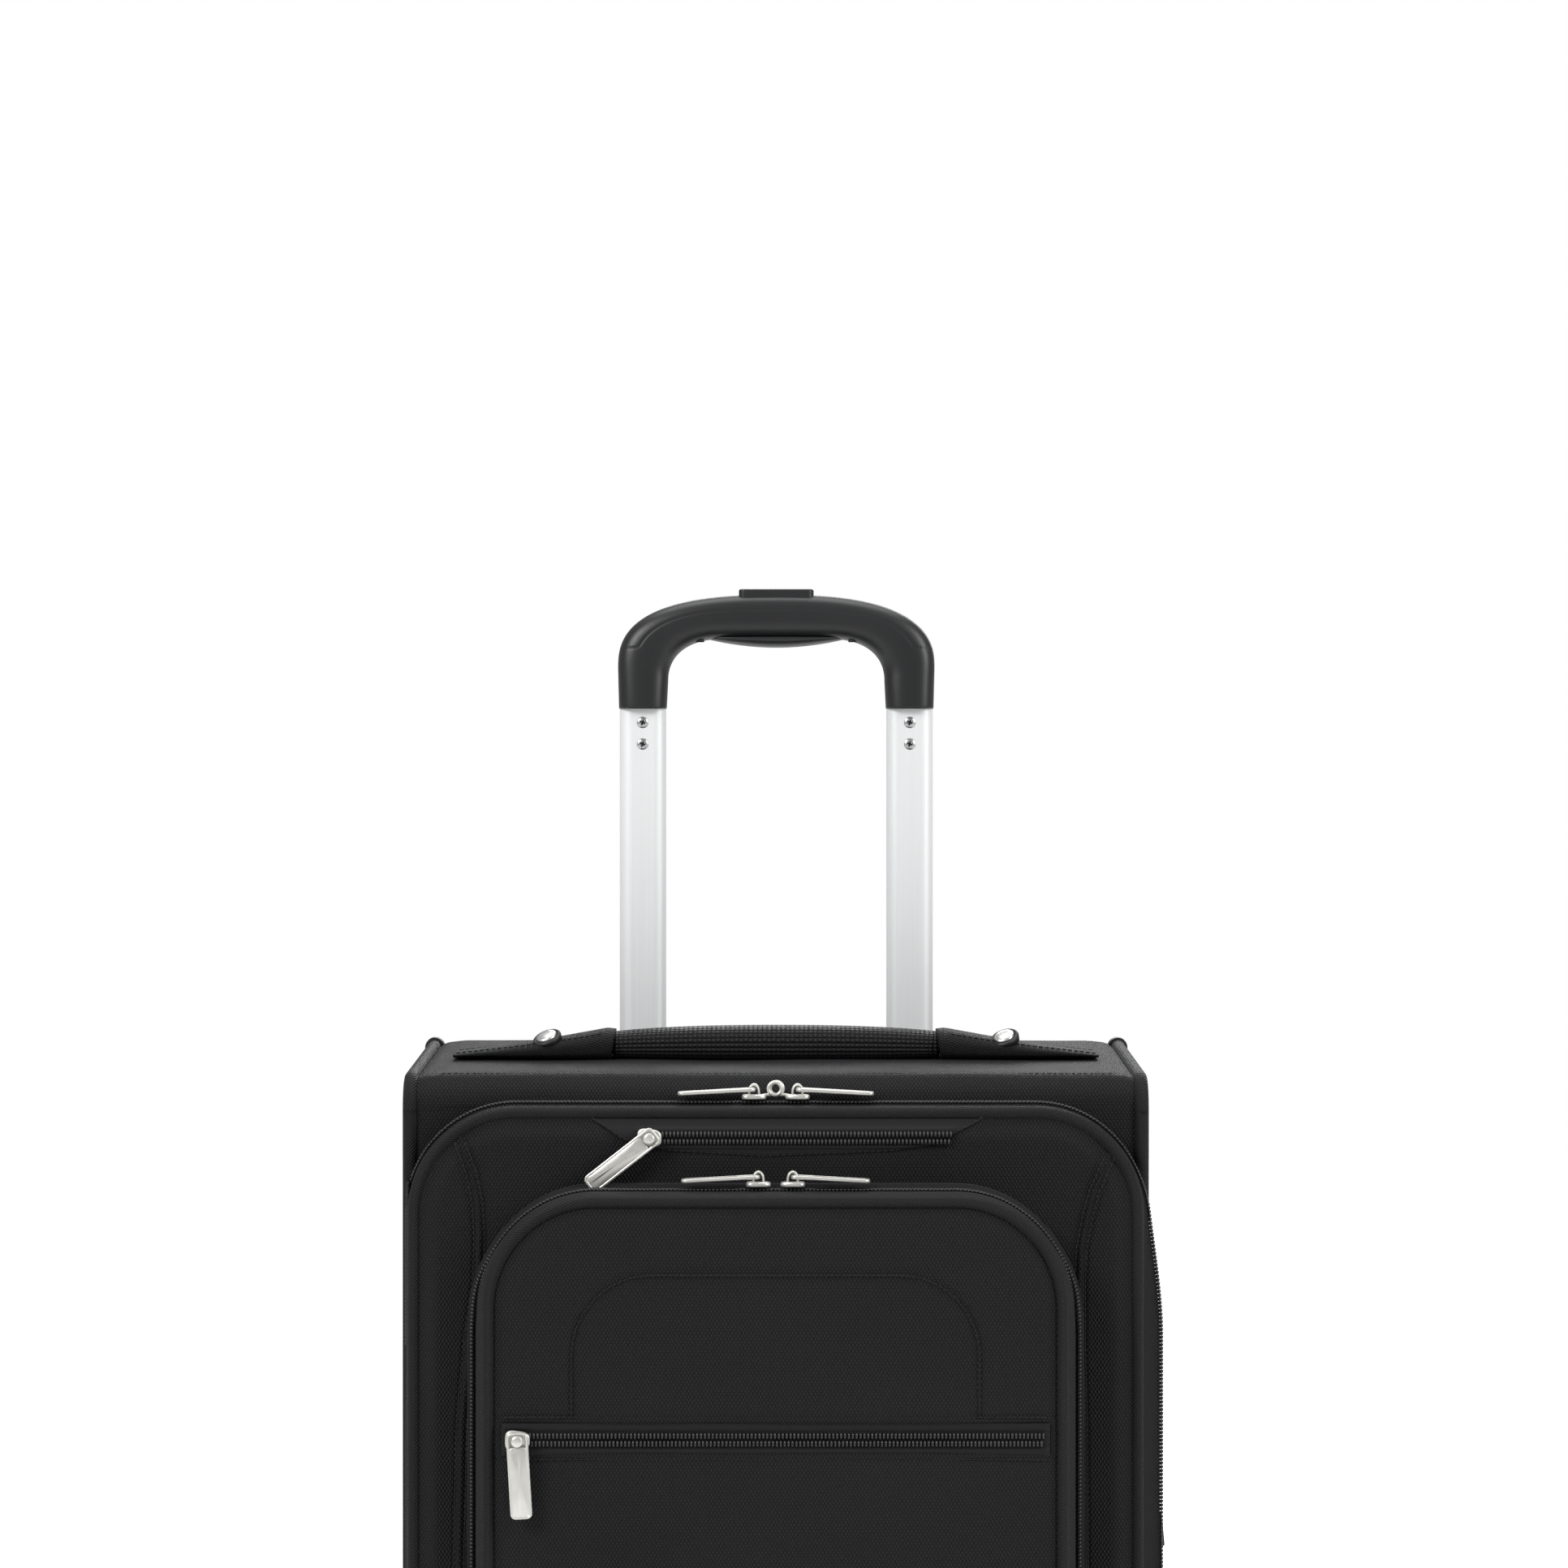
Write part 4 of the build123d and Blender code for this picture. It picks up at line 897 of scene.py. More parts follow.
def case_profile():
    """The case's side outline as (depth, height) points."""
    def arc(cy, cz, r, start, end, count):
        turn = np.radians(np.linspace(start, end, count))
        return np.stack([cy + r * np.cos(turn), cz + r * np.sin(turn)], 1)
    front, back = CASE_FRONT, CASE_BACK
    slope_front = CASE_HIGH - TOP_DROP
    top = np.stack([np.linspace(front + SHOULDER, back - REAR_RADIUS, 70),
                    np.linspace(slope_front, CASE_HIGH, 70)], 1)
    rear_z = np.linspace(CASE_HIGH - REAR_RADIUS, CASE_LOW + REAR_RADIUS, 150)
    rear = np.stack([np.full(150, back), rear_z], 1)
    bottom = np.stack([np.linspace(back - REAR_RADIUS, front + SHOULDER, 60), np.full(60, CASE_LOW)], 1)
    return np.vstack([
        arc(front + SHOULDER, slope_front - SHOULDER, SHOULDER, 180, 90, 14)[:-1],
        top[:-1],
        arc(back - REAR_RADIUS, CASE_HIGH - REAR_RADIUS, REAR_RADIUS, 90, 0, 9)[:-1],
        rear[:-1],
        arc(back - REAR_RADIUS, CASE_LOW + REAR_RADIUS, REAR_RADIUS, 0, -90, 9)[:-1],
        bottom[:-1],
        arc(front + SHOULDER, CASE_LOW + SHOULDER, SHOULDER, 270, 180, 14),
    ])


WRAP_X = 167.2 * MM


def lid_edge_height(x, upper):
    """Height of the lid's opening above or below a place across it."""
    into = np.clip(np.abs(x) - (LID_W - LID_R), 0, LID_R - 2 * MM)
    rise = LID_R - np.sqrt(LID_R**2 - into**2)
    return LID_TOP - rise - 2 * MM if upper else LID_LOW + rise + 2 * MM


def make_wrap():
    """One band of cloth over the top, down the back and under the bottom, with its front edges cut
    to the lid's arch; a sewn line crosses it near the front of the top."""
    edge = np.linspace(0.110, WRAP_X, 30)[1:]
    across = np.r_[-edge[::-1], np.linspace(-0.110, 0.110, 78), edge]
    body = case_profile()
    share = np.linspace(0, 1, 22)[:-1, None]
    up_end, low_end = body[0, 1], body[-1, 1]
    upper = lid_edge_height(across, True)[None] * (1 - share) + up_end * share
    lower = (lid_edge_height(across, False)[None] * (1 - share) + low_end * share)[::-1]
    depth = np.vstack([np.full(upper.shape, CASE_FRONT), np.repeat(body[:, :1], len(across), 1),
                       np.full(lower.shape, CASE_FRONT)])
    height = np.vstack([upper, np.repeat(body[:, 1:], len(across), 1), lower])
    x = np.repeat(across[None], len(depth), 0)
    length = np.r_[0, np.cumsum(np.hypot(np.diff(body[:, 0]), np.diff(body[:, 1])))]
    run = np.r_[-0.05 * np.ones(21), length, np.ones(21) * (length[-1] + 0.05)]
    normal = np.gradient(body, axis=0)
    normal /= np.linalg.norm(normal, axis=1, keepdims=True)
    out = np.vstack([np.repeat([(-1.0, 0.0)], 21, 0), np.stack([-normal[:, 1], normal[:, 0]], 1),
                     np.repeat([(-1.0, 0.0)], 21, 0)])
    sides = smooth_step((WRAP_X - np.abs(x)) / (16 * MM))
    puff = 1.2 * MM * sides * smooth_step((run / 0.03))[:, None]
    puff = puff * smooth_step((length[-1] - run) / 0.03)[:, None]
    seam = groove(run - SEAM_RUN, 1.0 * MM, 0.8 * MM)[:, None]
    seam = seam + groove(run - SEAM_RUN + 0.004, 3 * MM, -0.35 * MM)[:, None]
    move = puff + drape(x, run[:, None] + 0.3, 0.5 * MM) * sides - seam
    move -= 1.3 * MM * (1 - smooth_step((WRAP_X - np.abs(x)) / (6 * MM)))
    depth = depth + out[:, :1] * move
    height = height + out[:, 1:] * move
    uv = np.stack([x, np.repeat(run[:, None], x.shape[1], 1)], -1)
    uv[:21, :, 1] = height[:21] - up_end
    uv[-21:, :, 1] = length[-1] + (height[-21:] * -1 + low_end) * -1
    points = np.stack([x, depth, height], -1).reshape(-1, 3)
    cup_low, cup_high = box("handle_cup")
    quads = grid_quads(*x.shape)
    hole = (np.abs(points[:, 0]) < cup_high[0] - 4 * MM) & (points[:, 1] > cup_low[1] + 3.5 * MM)
    hole &= (points[:, 1] < cup_high[1] - 3.5 * MM) & (points[:, 2] > CASE_HIGH - 20 * MM)
    quads = quads[~hole[quads].any(1)]
    wrap = mesh_piece("case_wrap", points, quads, uv.reshape(-1, 2), about=MIDDLE)
    thicken(wrap, 1.4 * MM, "shell", "lining")
    dress(wrap, None, "case", ["top_gusset", "bottom_panel", "back_panel"])
    at = np.interp(SEAM_RUN - 1.6 * MM, length, np.arange(len(body)))
    low = int(at)
    spot = body[low] + (body[low + 1] - body[low]) * (at - low)
    lift = out[21 + low] * 0.9 * MM
    spot = spot + lift
    line = np.stack([np.linspace(-0.155, 0.155, 240), np.full(240, spot[0]), np.full(240, spot[1])], 1)
    up = (0.0, out[21 + low][0], out[21 + low][1])
    dress(stitches("top_seam_stitches", line, up, 2.8 * MM), "thread", "case")


SEAM_RUN = 21.0 * MM


def make_sides():
    """The two side panels: upright cloth that swells gently between its corded edges."""
    body = case_profile()
    closed = np.vstack([body, body[:1]])
    even = resample(closed, 2.2 * MM)[:-1]
    even = even[: len(even) // 2 * 2]
    middle = np.array([(CASE_FRONT + CASE_BACK) / 2, (CASE_LOW + CASE_HIGH) / 2])
    shares = np.r_[1 - np.array([0.0, 0.006, 0.014, 0.025, 0.04, 0.06, 0.085]), np.linspace(0.88, 0.05, 27)]
    rings = middle + (even - middle)[None] * shares[:, None, None]
    for name, sign in (("left", -1), ("right", 1)):
        swell = smooth_step((1 - shares) / 0.14)[:, None]
        crown = (1 - shares[:, None] ** 2) * 1.4 * MM
        x = sign * (WRAP_X + 0.6 * MM + 2.3 * MM * swell + crown * 0.7)
        x = x + drape(rings[..., 0], rings[..., 1], 0.5 * MM) * swell
        if sign > 0:
            front_bulge = smooth_step((-0.035 - rings[..., 0]) / 0.04)
            x += 3.2 * MM * front_bulge * smooth_step((0.505 - rings[..., 1]) / 0.09) * swell
        points = np.stack([x, rings[..., 0], rings[..., 1]], -1)
        uv = rings.reshape(-1, 2)
        centre = end_quads(len(even)) + (len(shares) - 1) * len(even)
        quads = np.vstack([grid_quads(len(shares), len(even), wrap_cols=True), centre])
        side = mesh_piece(f"{name}_side", points.reshape(-1, 3), quads, uv, facing=(sign, 0, 0))
        thicken(side, 1.4 * MM, "shell", "lining")
        dress(side, None, "case", [f"{name}_side_panel"])


def make_edge_piping():
    """The cord round each side panel, in bias twill; the upper rear corners carry moulded guards, which are
    not made here.
    """
    body = case_profile()
    centre = np.array([(CASE_FRONT + CASE_BACK) / 2, (CASE_LOW + CASE_HIGH) / 2])
    inward = centre - body
    body = body + np.sign(inward) * 1.5 * MM * (np.abs(inward) > 0.02)
    even = resample(np.vstack([body, body[:1]]), 2.0 * MM)[:-1]
    for name, x in (("left", -EDGE_X), ("right", EDGE_X)):
        points = np.stack([np.full(len(even), x), even[:, 0], even[:, 1]], 1)
        line = rail(points, (1, 0, 0), closed=True)
        cord = sweep(f"{name}_edge_cord", line, circle(PIPE, 16), closed_line=True)
        dress(cord, "piping", "case", ["edge_piping"])


def make_zip_flange():
    """The strip of cloth that carries the body half of the zip, round the case's open front."""
    inner = zip_rail(-3.0 * MM, CASE_FRONT - 0.4 * MM)[0].copy()
    outer = zip_rail(3.2 * MM, CASE_FRONT - 1.2 * MM)[0]
    inner[:, 0] -= lid_bulge(inner)
    bow = np.array([0, -0.4 * MM, 0]) * np.ones((len(inner), 1))
    piece = ruled("zip_flange", outer, inner, rows=8, bow=bow)
    thicken(piece, 1.0 * MM)
    dress(piece, "shell", "case")


make_wrap()
make_sides()
make_edge_piping()
make_zip_flange()


# ---- sliders and pulls --------------------------------------------------------------------------


def placed(points, origin, along, up):
    """Local points (along, across, up) carried to a place in the frame."""
    t, s, u = axes(along, up)
    return np.asarray(origin) + points[..., :1] * t + points[..., 1:2] * s + points[..., 2:] * u


def axes(along, up):
    """Unit vectors along, across and up from two directions."""
    t = np.asarray(along, float) / np.linalg.norm(along)
    u = np.asarray(up, float) - t * np.dot(up, t)
    u /= np.linalg.norm(u)
    return t, np.cross(u, t), u


def loft(name, rings, place=None):
    """A closed form through rings of points (rows, columns, 3)."""
    rings = np.asarray(rings, float)
    points = placed(rings, *place) if place else rings
    return mesh_piece(name, points.reshape(-1, 3), tube_quads(*rings.shape[:2]))


def squarish(half_long, half_wide, count=32, power=4.0):
    """A closed superellipse: |x/a|^p + |y/b|^p = 1."""
    turn = np.linspace(0, TAU, count, endpoint=False)
    c, s = np.cos(turn), np.sin(turn)
    scale = (np.abs(c) ** power + np.abs(s) ** power) ** (-1 / power)
    return np.stack([half_long * c * scale, half_wide * s * scale], 1)


def stacked(outline, steps):
    """Rings of an outline at given (share of its size, height) steps."""
    return np.array([np.c_[outline * share, np.full(len(outline), height)] for share, height in steps])


def bent_bar(name, path, half_wide, half_thick, place):
    """A rounded bar along a local path in the (along, up) plane."""
    path = np.asarray(path, float)
    points = np.stack([path[:, 0], np.zeros(len(path)), path[:, 1]], 1)
    line = rail(points, (0, 1, 0))
    ring = squarish(half_thick, half_wide, 16, 3.0)
    surface = points[:, None] + ring[None, :, :1] * line[2][:, None] + ring[None, :, 1:] * line[3][:, None]
    return mesh_piece(name, placed(surface, *place).reshape(-1, 3), tube_quads(*surface.shape[:2]))


def make_slider(name, body, origin, along, up, node, loop=0.0, post=False):
    """A zip slider: a winged plate, the bridge or headed post that holds its pull, and any lock loop."""
    place = (origin, along, up)
    wing = squarish(5.6 * MM, 4.3 * MM, 40, 3.4)
    wing[:, 1] *= 1 - 0.16 * (wing[:, 0] / (5.6 * MM))
    steps = ((0.90, 0.1e-3), (0.985, 0.35e-3), (1.0, 0.7e-3), (1.0, 1.5e-3), (0.96, 2.0e-3),
             (0.86, 2.3e-3), (0.3, 2.45e-3))
    parts = [loft(name, stacked(wing, steps), place)]
    if post:
        steps = ((1.3, 1.6), (1.3, 5.3), (2.5, 5.5), (2.7, 5.9), (2.3, 6.3), (1.2, 6.5), (0.1, 6.55))
        knob = stacked(squarish(1.0, 1.0, 32, 2.0), [(r * MM, h * MM) for r, h in steps])
        parts.append(loft(name + "_post", knob, place))
    else:
        turn = np.linspace(np.pi, 0, 25)
        arch = np.stack([2.3 * MM * np.cos(turn), 1.6 * MM + 5.2 * MM * np.sin(turn) ** 0.6], 1)
        parts.append(bent_bar(name + "_bridge", arch, 1.7 * MM, 0.62 * MM, place))
    if loop:
        ring = circle(2.95 * MM, 32)
        centre = np.array([abs(loop), 0.9 * MM * np.sign(loop), 5.0 * MM])
        path = np.stack([centre[0] + ring[:, 0], np.full(32, centre[1]), centre[2] + ring[:, 1]], 1)
        line = rail(placed(path, *place), axes(along, up)[1], closed=True)
        parts.append(sweep(name + "_loop", line, circle(0.85 * MM, 12), closed_line=True))
        arm = np.array([(3.2, 1.6), (4.4, 1.9), (5.6, 2.1), (abs(loop) * 1000, 2.3)]) * MM
        parts.append(bent_bar(name + "_arm", resample(arm, 0.4 * MM), 0.8 * MM, 0.7 * MM, place))
    piece = join_meshes(name, parts)
    return dress(piece, "nickel", body, [node])


PULL = 36 * MM


def make_pull(name, body, pivot, along, up, node, wide=9.0 * MM, hung=False):
    """A long flat zip pull: a raised rim round a thin blade, and an open eye round its pivot."""
    place = (pivot, along, up)
    half = wide / 2
    start, eye = (-3.3 * MM, 2.6 * MM) if hung else (-0.1 * MM, 9.2 * MM)
    path = rounded_outline(half - 0.65 * MM, start, PULL - 1.6 * MM, 1.7 * MM, 96)
    rim = np.stack([path[:, 1], path[:, 0], np.zeros(96)], 1)
    line = rail(placed(rim, *place), axes(along, up)[2], closed=True)
    parts = [sweep(name, line, squarish(0.68 * MM, 0.85 * MM, 14, 3.2), closed_line=True)]
    reach = PULL - eye - 1.3 * MM
    blade = squarish(reach / 2, half - 0.6 * MM, 48, 9.0)
    blade[:, 0] += eye + reach / 2
    centre = blade.mean(0)
    flat = blade - centre
    steps = ((0.05, -0.74e-3), (0.96, -0.74e-3), (0.99, -0.6e-3), (0.99, 0.6e-3), (0.96, 0.74e-3),
             (0.05, 0.74e-3))
    rings = stacked(flat, steps)
    rings[..., :2] += centre
    parts.append(loft(name + "_blade", rings, place))
    piece = join_meshes(name, parts)
    return dress(piece, "nickel", body, [node])


# Bridge sliders: reach to each side, and heights of the plate and of the pivot. Hanging sliders:
# name, x, the plate's and the pull's y, height, the pull's direction and its width.
MAIN_REACH, MAIN_SLIDER_Z, MAIN_PIVOT_Z = 10 * MM, 531.2 * MM, 535.8 * MM
POCKET_REACH, POCKET_SLIDER_Z, POCKET_PIVOT_Z = 7.8 * MM, 493.4 * MM, 498.0 * MM
POCKET_SLIDER_Y = -110.4 * MM
HANGING = (
    ("quick", -57.5 * MM, -99.8 * MM, -104.1 * MM, QUICK_Z, (-0.788, 0, -0.616), 9.0 * MM),
    ("panel", -116 * MM, -129.8 * MM, -134.1 * MM, PANEL_ZIP_Z, (0.06, 0, -0.998), 9.8 * MM),
)


def make_hardware():
    """Every slider and pull, each where its joint holds it."""
    up = (0, 0, 1)
    for side, sign in (("left", -1), ("right", 1)):
        lean = (sign, 0, -0.055)
        place = (sign * MAIN_REACH, PARTING_Y, MAIN_SLIDER_Z)
        pivot = (sign * MAIN_REACH, PARTING_Y, MAIN_PIVOT_Z)
        slider, pull = f"main_slider_{side}", f"main_pull_{side}"
        make_slider(f"main_{side}_runner", slider, place, (-sign, 0, 0), up, slider, loop=-9.6 * MM)
        make_pull(f"main_{side}_tag", pull, pivot, lean, up, pull)
        place = (sign * POCKET_REACH, POCKET_SLIDER_Y, POCKET_SLIDER_Z)
        pivot = (sign * POCKET_REACH, POCKET_SLIDER_Y, POCKET_PIVOT_Z)
        slider, pull = f"pocket_slider_{side}", f"pocket_pull_{side}"
        make_slider(f"pocket_{side}_runner", slider, place, (-sign, 0, 0), up, slider)
        make_pull(f"pocket_{side}_tag", pull, pivot, lean, up, pull)
    forward = (0, -1, 0)
    for name, x, base_y, pivot_y, z, along, wide in HANGING:
        slider, pull = f"{name}_slider", f"{name}_pull"
        make_slider(f"{name}_runner", slider, (x, base_y, z), (1, 0, 0), forward, slider, post=True)
        make_pull(f"{name}_tag", pull, (x, pivot_y, z), along, forward, pull, wide, hung=True)


make_hardware()


# ---- handles ------------------------------------------------------------------------------------

PAD_LOW, PAD_HIGH = box("carry_pad")
PAD_Y = (PAD_LOW[1] + PAD_HIGH[1]) / 2


def carry_section(share):
    """Half-width, half-height and middle height of the top handle at a share of its length, -1 to 1."""
    crown = 1 - np.abs(share) ** 2.6
    return 14.2 * MM + 1.2 * MM * crown, 7.2 * MM + 2.4 * MM * crown, 551.6 * MM + 0.7 * MM * crown


def make_carry_pad():
    """The padded top handle: its foam swells in its cover under pressure, held flat at both ends."""
    share = np.linspace(-1, 1, 96)
    wide, tall, mid = carry_section(share)
    ring = squarish(1.0, 1.0, 44, 2.6)
    start = 0.90
    x = np.repeat(share[:, None] * 77.6 * MM, 44, 1)
    y = PAD_Y + ring[None, :, 0] * wide[:, None] * start
    z = mid[:, None] + ring[None, :, 1] * tall[:, None] * start
    pad = mesh_piece("carry_grip", np.stack([x, y, z], -1).reshape(-1, 3), tube_quads(96, 44))
    rest = np.array([v.co for v in pad.data.vertices])
    held = pad.vertex_groups.new(name="ends")
    held.add([int(i) for i in np.nonzero(np.abs(rest[:, 0]) > 75.5 * MM)[0]], 1.0, "REPLACE")
    swell = pad.modifiers.new("swell", "CLOTH")
    cloth_set = swell.settings
    cloth_set.use_pressure = True
    cloth_set.uniform_pressure_force = 4.0
    cloth_set.vertex_group_mass = "ends"
    cloth_set.tension_stiffness = 25.0
    cloth_set.compression_stiffness = 25.0
    cloth_set.bending_stiffness = 2.0
    cloth_set.effector_weights.gravity = 0.0
    scene = bpy.context.scene
    for step in range(1, 21):
        scene.frame_set(step)
    shape = pad.evaluated_get(bpy.context.evaluated_depsgraph_get()).to_mesh()
    moved = np.array([v.co for v in shape.vertices])
    pad.evaluated_get(bpy.context.evaluated_depsgraph_get()).to_mesh_clear()
    pad.modifiers.remove(swell)
    scene.frame_set(1)
    shift = moved - rest
    far = np.linalg.norm(shift, axis=1, keepdims=True)
    shift *= np.minimum(1, 2.2 * MM / np.maximum(far, 1e-9))
    rest = rest + shift
    rest[:, 2] = np.maximum(rest[:, 2], 543.2 * MM)
    pad.data.vertices.foreach_set("co", rest.astype(np.float32).ravel())
    shape = np.array([v.co for v in pad.data.vertices]).reshape(96, 44, 3)
    steps = np.linalg.norm(np.diff(shape, axis=1, append=shape[:, :1]), axis=2).mean(0)
    round_at = np.r_[0, np.cumsum(steps)][:-1]
    uv = np.stack([shape[..., 0], np.repeat(round_at[None], 96, 0)], -1).reshape(-1, 2)
    corner = np.zeros(len(pad.data.loops), np.int32)
    pad.data.loops.foreach_get("vertex_index", corner)
    pad.data.uv_layers["cloth"].data.foreach_set("uv", uv[corner].astype(np.float32).ravel())
    dress(pad, "handle", "carry_handle", ["carry_pad"])


def strap_piece(name, spine, half_wide, half_thick, power=5.0):
    """A flat strap with soft edges along a spine in the upright plane; widths may vary along it."""
    spine = np.asarray(spine, float)
    line = rail(spine, (0, 1, 0))
    count = 40
    ring = squarish(1.0, 1.0, count, power)
    half_thick = np.broadcast_to(half_thick, (len(spine),))[:, None, None]
    half_wide = np.broadcast_to(half_wide, (len(spine),))[:, None, None]
    surface = (
        spine[:, None]
        + ring[None, :, :1] * half_thick * line[2][:, None]
        + ring[None, :, 1:] * half_wide * line[3][:, None]
    )
    along = distance_along(spine)
    across = np.linspace(0, 4 * half_wide.max(), count, endpoint=False)
    uv = np.stack(np.broadcast_arrays(across[None], along[:, None]), -1).reshape(-1, 2)
    return mesh_piece(name, surface.reshape(-1, 3), tube_quads(len(spine), count), uv)


def make_carry_tabs():
    """The two cloth tabs that fold over the top handle's ends and slope down to their rivets."""
    for side, sign in (("left", -1), ("right", 1)):
        x = np.linspace(77.5, 153.0, 60)
        z = np.interp(x, [77, 80, 100, 125, 153], [559.4, 559.8, 556.2, 552.2, 548.4])
        wide = np.interp(x, [77, 82, 110, 153], [15.6, 16.2, 17.0, 17.0])
        thick = np.interp(x, [77, 82, 110, 135, 153], [7.9, 7.7, 5.0, 2.6, 1.2])
        spine = np.stack([sign * x, np.full(60, PAD_Y * 1000), z - thick], 1) * MM
        tab = strap_piece(f"carry_tab_{side}", spine, wide * MM, thick * MM, 2.5)
        dress(tab, "shell", None, ["carry_tabs"])
        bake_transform(tab)
        for edge in (-1, 1):
            seen = x > 82
            drop = thick * (1 - (1 - ((wide - 3.6) / wide) ** 2.5) ** 0.4)
            path = np.stack([sign * x, PAD_Y * 1000 + edge * (wide - 3.6), z - drop + 0.1], 1)[seen] * MM
            edge_name = "rear" if edge > 0 else "front"
            row = stitches(f"carry_tab_{side}_{edge_name}_stitches", path, (0, 0, 1), 2.8 * MM)
            dress(row, "thread", None)
            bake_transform(row)


def make_grab_handle():
    """The side handle: ribbed webbing on a cloth-covered core, held at both ends by folded tabs."""
    low, high = box("grab_strap")
    y = (low[1] + high[1]) / 2
    z = np.linspace(low[2] - 4 * MM, high[2] + 4 * MM, 60)
    share = (z - z.mean()) / (z.max() - z.mean())
    x = (low[0] + high[0]) / 2 + 1.0 * MM * (1 - share**2)
    strap = strap_piece("grab_webbing", np.stack([x, np.full(60, y), z], 1), 14 * MM, 3.0 * MM, 5.0)
    dress(strap, "webbing", "grab_handle", ["grab_strap"])
    for name, edge, sign in (("upper", high[2], 1), ("lower", low[2], -1)):
        away = np.linspace(0, 40, 40)
        x = np.interp(away, [0, 12, 24, 33, 40], [180.9, 180.3, 176.4, 172.8, 171.6])
        thick = np.interp(away, [0, 12, 24, 34, 40], [4.1, 3.7, 2.7, 1.5, 1.0])
        wide = np.interp(away, [0, 14, 40], [16.2, 16.2, 15.0])
        spine = np.stack([x * MM, np.full(40, y), edge + sign * away * MM], 1)
        tab = strap_piece(f"grab_tab_{name}", spine, wide * MM, thick * MM, 6.0)
        dress(tab, "shell", None, ["grab_tabs"])
        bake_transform(tab)


GRIP_FOOT = 713.0 * MM
GRIP_STATIONS = 281
# Each outline: half width, height where the corner starts, height of the crown, half width of the
# flat middle, power.
GRIP_OUTER = (77.9 * MM, 733.0 * MM, 769.3 * MM, 0.0, 2.6)
GRIP_INNER = (53.2 * MM, 726.5 * MM, 747.3 * MM, 26.0 * MM, 2.3)


def grip_outline(side, shoulder, crown, flat, power, flare):
    """One edge of the grip from foot to foot: a straight leg, a rounded corner that follows
    |x/a| ** power + |z/b| ** power = 1, and a flat middle, at even steps."""
    turn = np.linspace(0, TAU / 4, 90)
    corner_x = flat + (side - flat) * np.cos(turn) ** (2 / power)
    corner_z = shoulder + (crown - shoulder) * np.sin(turn) ** (2 / power)
    half = np.vstack([[side + flare, GRIP_FOOT], np.stack([corner_x, corner_z], 1), [0, crown]])
    full = np.vstack([half * (-1, 1), half[-2::-1]])
    return points_at(full, np.linspace(0, distance_along(full)[-1], GRIP_STATIONS))


def make_grip():
    """The moulded grip: a soft-edged section carried between its outer and inner outlines, with the
    shallow line where its upper cover meets the body."""
    outer = grip_outline(*GRIP_OUTER, flare=-0.5 * MM)
    inner = grip_outline(*GRIP_INNER, flare=0.7 * MM)
    centre, reach = (outer + inner) / 2, (outer - inner) / 2
    half = np.linalg.norm(reach, axis=1)
    ring = squarish(1.0, 1.0, 132, 2.7)
    leg = smooth_step((centre[:, 1] - 0.7125) / 0.001)
    out = np.repeat(ring[None, :, 0], GRIP_STATIONS, 0)
    front = np.repeat(ring[None, :, 1], GRIP_STATIONS, 0)
    depth = (10.6 + 1.0 * smooth_step((0.745 - centre[:, 1]) / 0.03)) * MM
    low = smooth_step((0.742 - centre[:, 1]) / 0.006)[:, None]
    place = 0.34 + 0.75 * low
    line = groove((out - place) * half[:, None], 0.42 * MM, 0.34 * MM)
    line = line * smooth_step((-front - 0.05) / 0.2) + line * smooth_step((front - 0.05) / 0.2)
    cover = 0.16 * MM * smooth_step((out - place) * half[:, None] / (0.5 * MM))
    side_push = np.sign(front) * (cover - line)
    end = (1 - 0.03 * (1 - leg))[:, None]
    flat = centre[:, None] + reach[:, None] * out[..., None] * end[..., None]
    y = TUBE_Y + front * depth[:, None] * end + side_push
    points = np.stack([flat[..., 0], y, flat[..., 1]], -1)
    grip = mesh_piece("grip_handle", points.reshape(-1, 3), tube_quads(GRIP_STATIONS, 132))
    dress(grip, "grip", "handle", ["grip_body"])


def make_grip_cover():
    """The shell under the grip."""
    share = np.linspace(-1, 1, 60)
    wide = np.sqrt(np.clip(1 - share**4, 0.02, 1))
    drop = 4.3 * MM * (1 - share**2) + 0.6 * MM
    round_section = squarish(1.0, 1.0, 40, 2.3)
    x = np.repeat(share[:, None] * 34.5 * MM, 40, 1)
    y = TUBE_Y + round_section[None, :, 0] * 8.6 * MM * wide[:, None]
    lens = np.where(round_section[:, 1] > 0, 0.15, 1.0) * round_section[:, 1]
    z = 748.0 * MM + lens[None, :] * drop[:, None]
    under = mesh_piece("grip_under_shell", np.stack([x, y, z], -1).reshape(-1, 3), tube_quads(60, 40))
    dress(under, "grip", "handle", ["grip_under_cover"])


def make_grip_wells():
    """The two screw wells under the grip."""
    wells = []
    rings = stacked(squarish(2.1 * MM, 1.7 * MM, 24, 2.0), [(1.0, 0.0), (1.0, 1.5 * MM)])
    for x in (-37.5 * MM, 37.5 * MM):
        place = ((x, TUBE_Y - 4 * MM, 745.7 * MM), (1, 0, 0), (0, 0, 1))
        wells.append(loft("grip_screw_wells", rings, place))
    dress(join_meshes("grip_screw_wells", wells), "black", "handle")


def make_button_spring():
    """The spring under the button, which closes up when the button is pressed: a fine wire helix, built
    here at rest.
    """
    low, high = box("button_spring")
    turn = np.linspace(0, 3 * TAU, 150)
    radius = (high[0] - low[0]) / 2 - 0.35 * MM
    rise = np.linspace(low[2] + 0.3 * MM, high[2] - 0.35 * MM, 150)
    path = np.stack([radius * np.cos(turn), TUBE_Y + radius * np.sin(turn), rise], 1)
    coil = sweep("button_spring_wire", rail(path, (0, 0, 1)), circle(0.28 * MM, 10))
    dress(coil, "steel", "handle", ["button_spring"])
    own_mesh(coil)


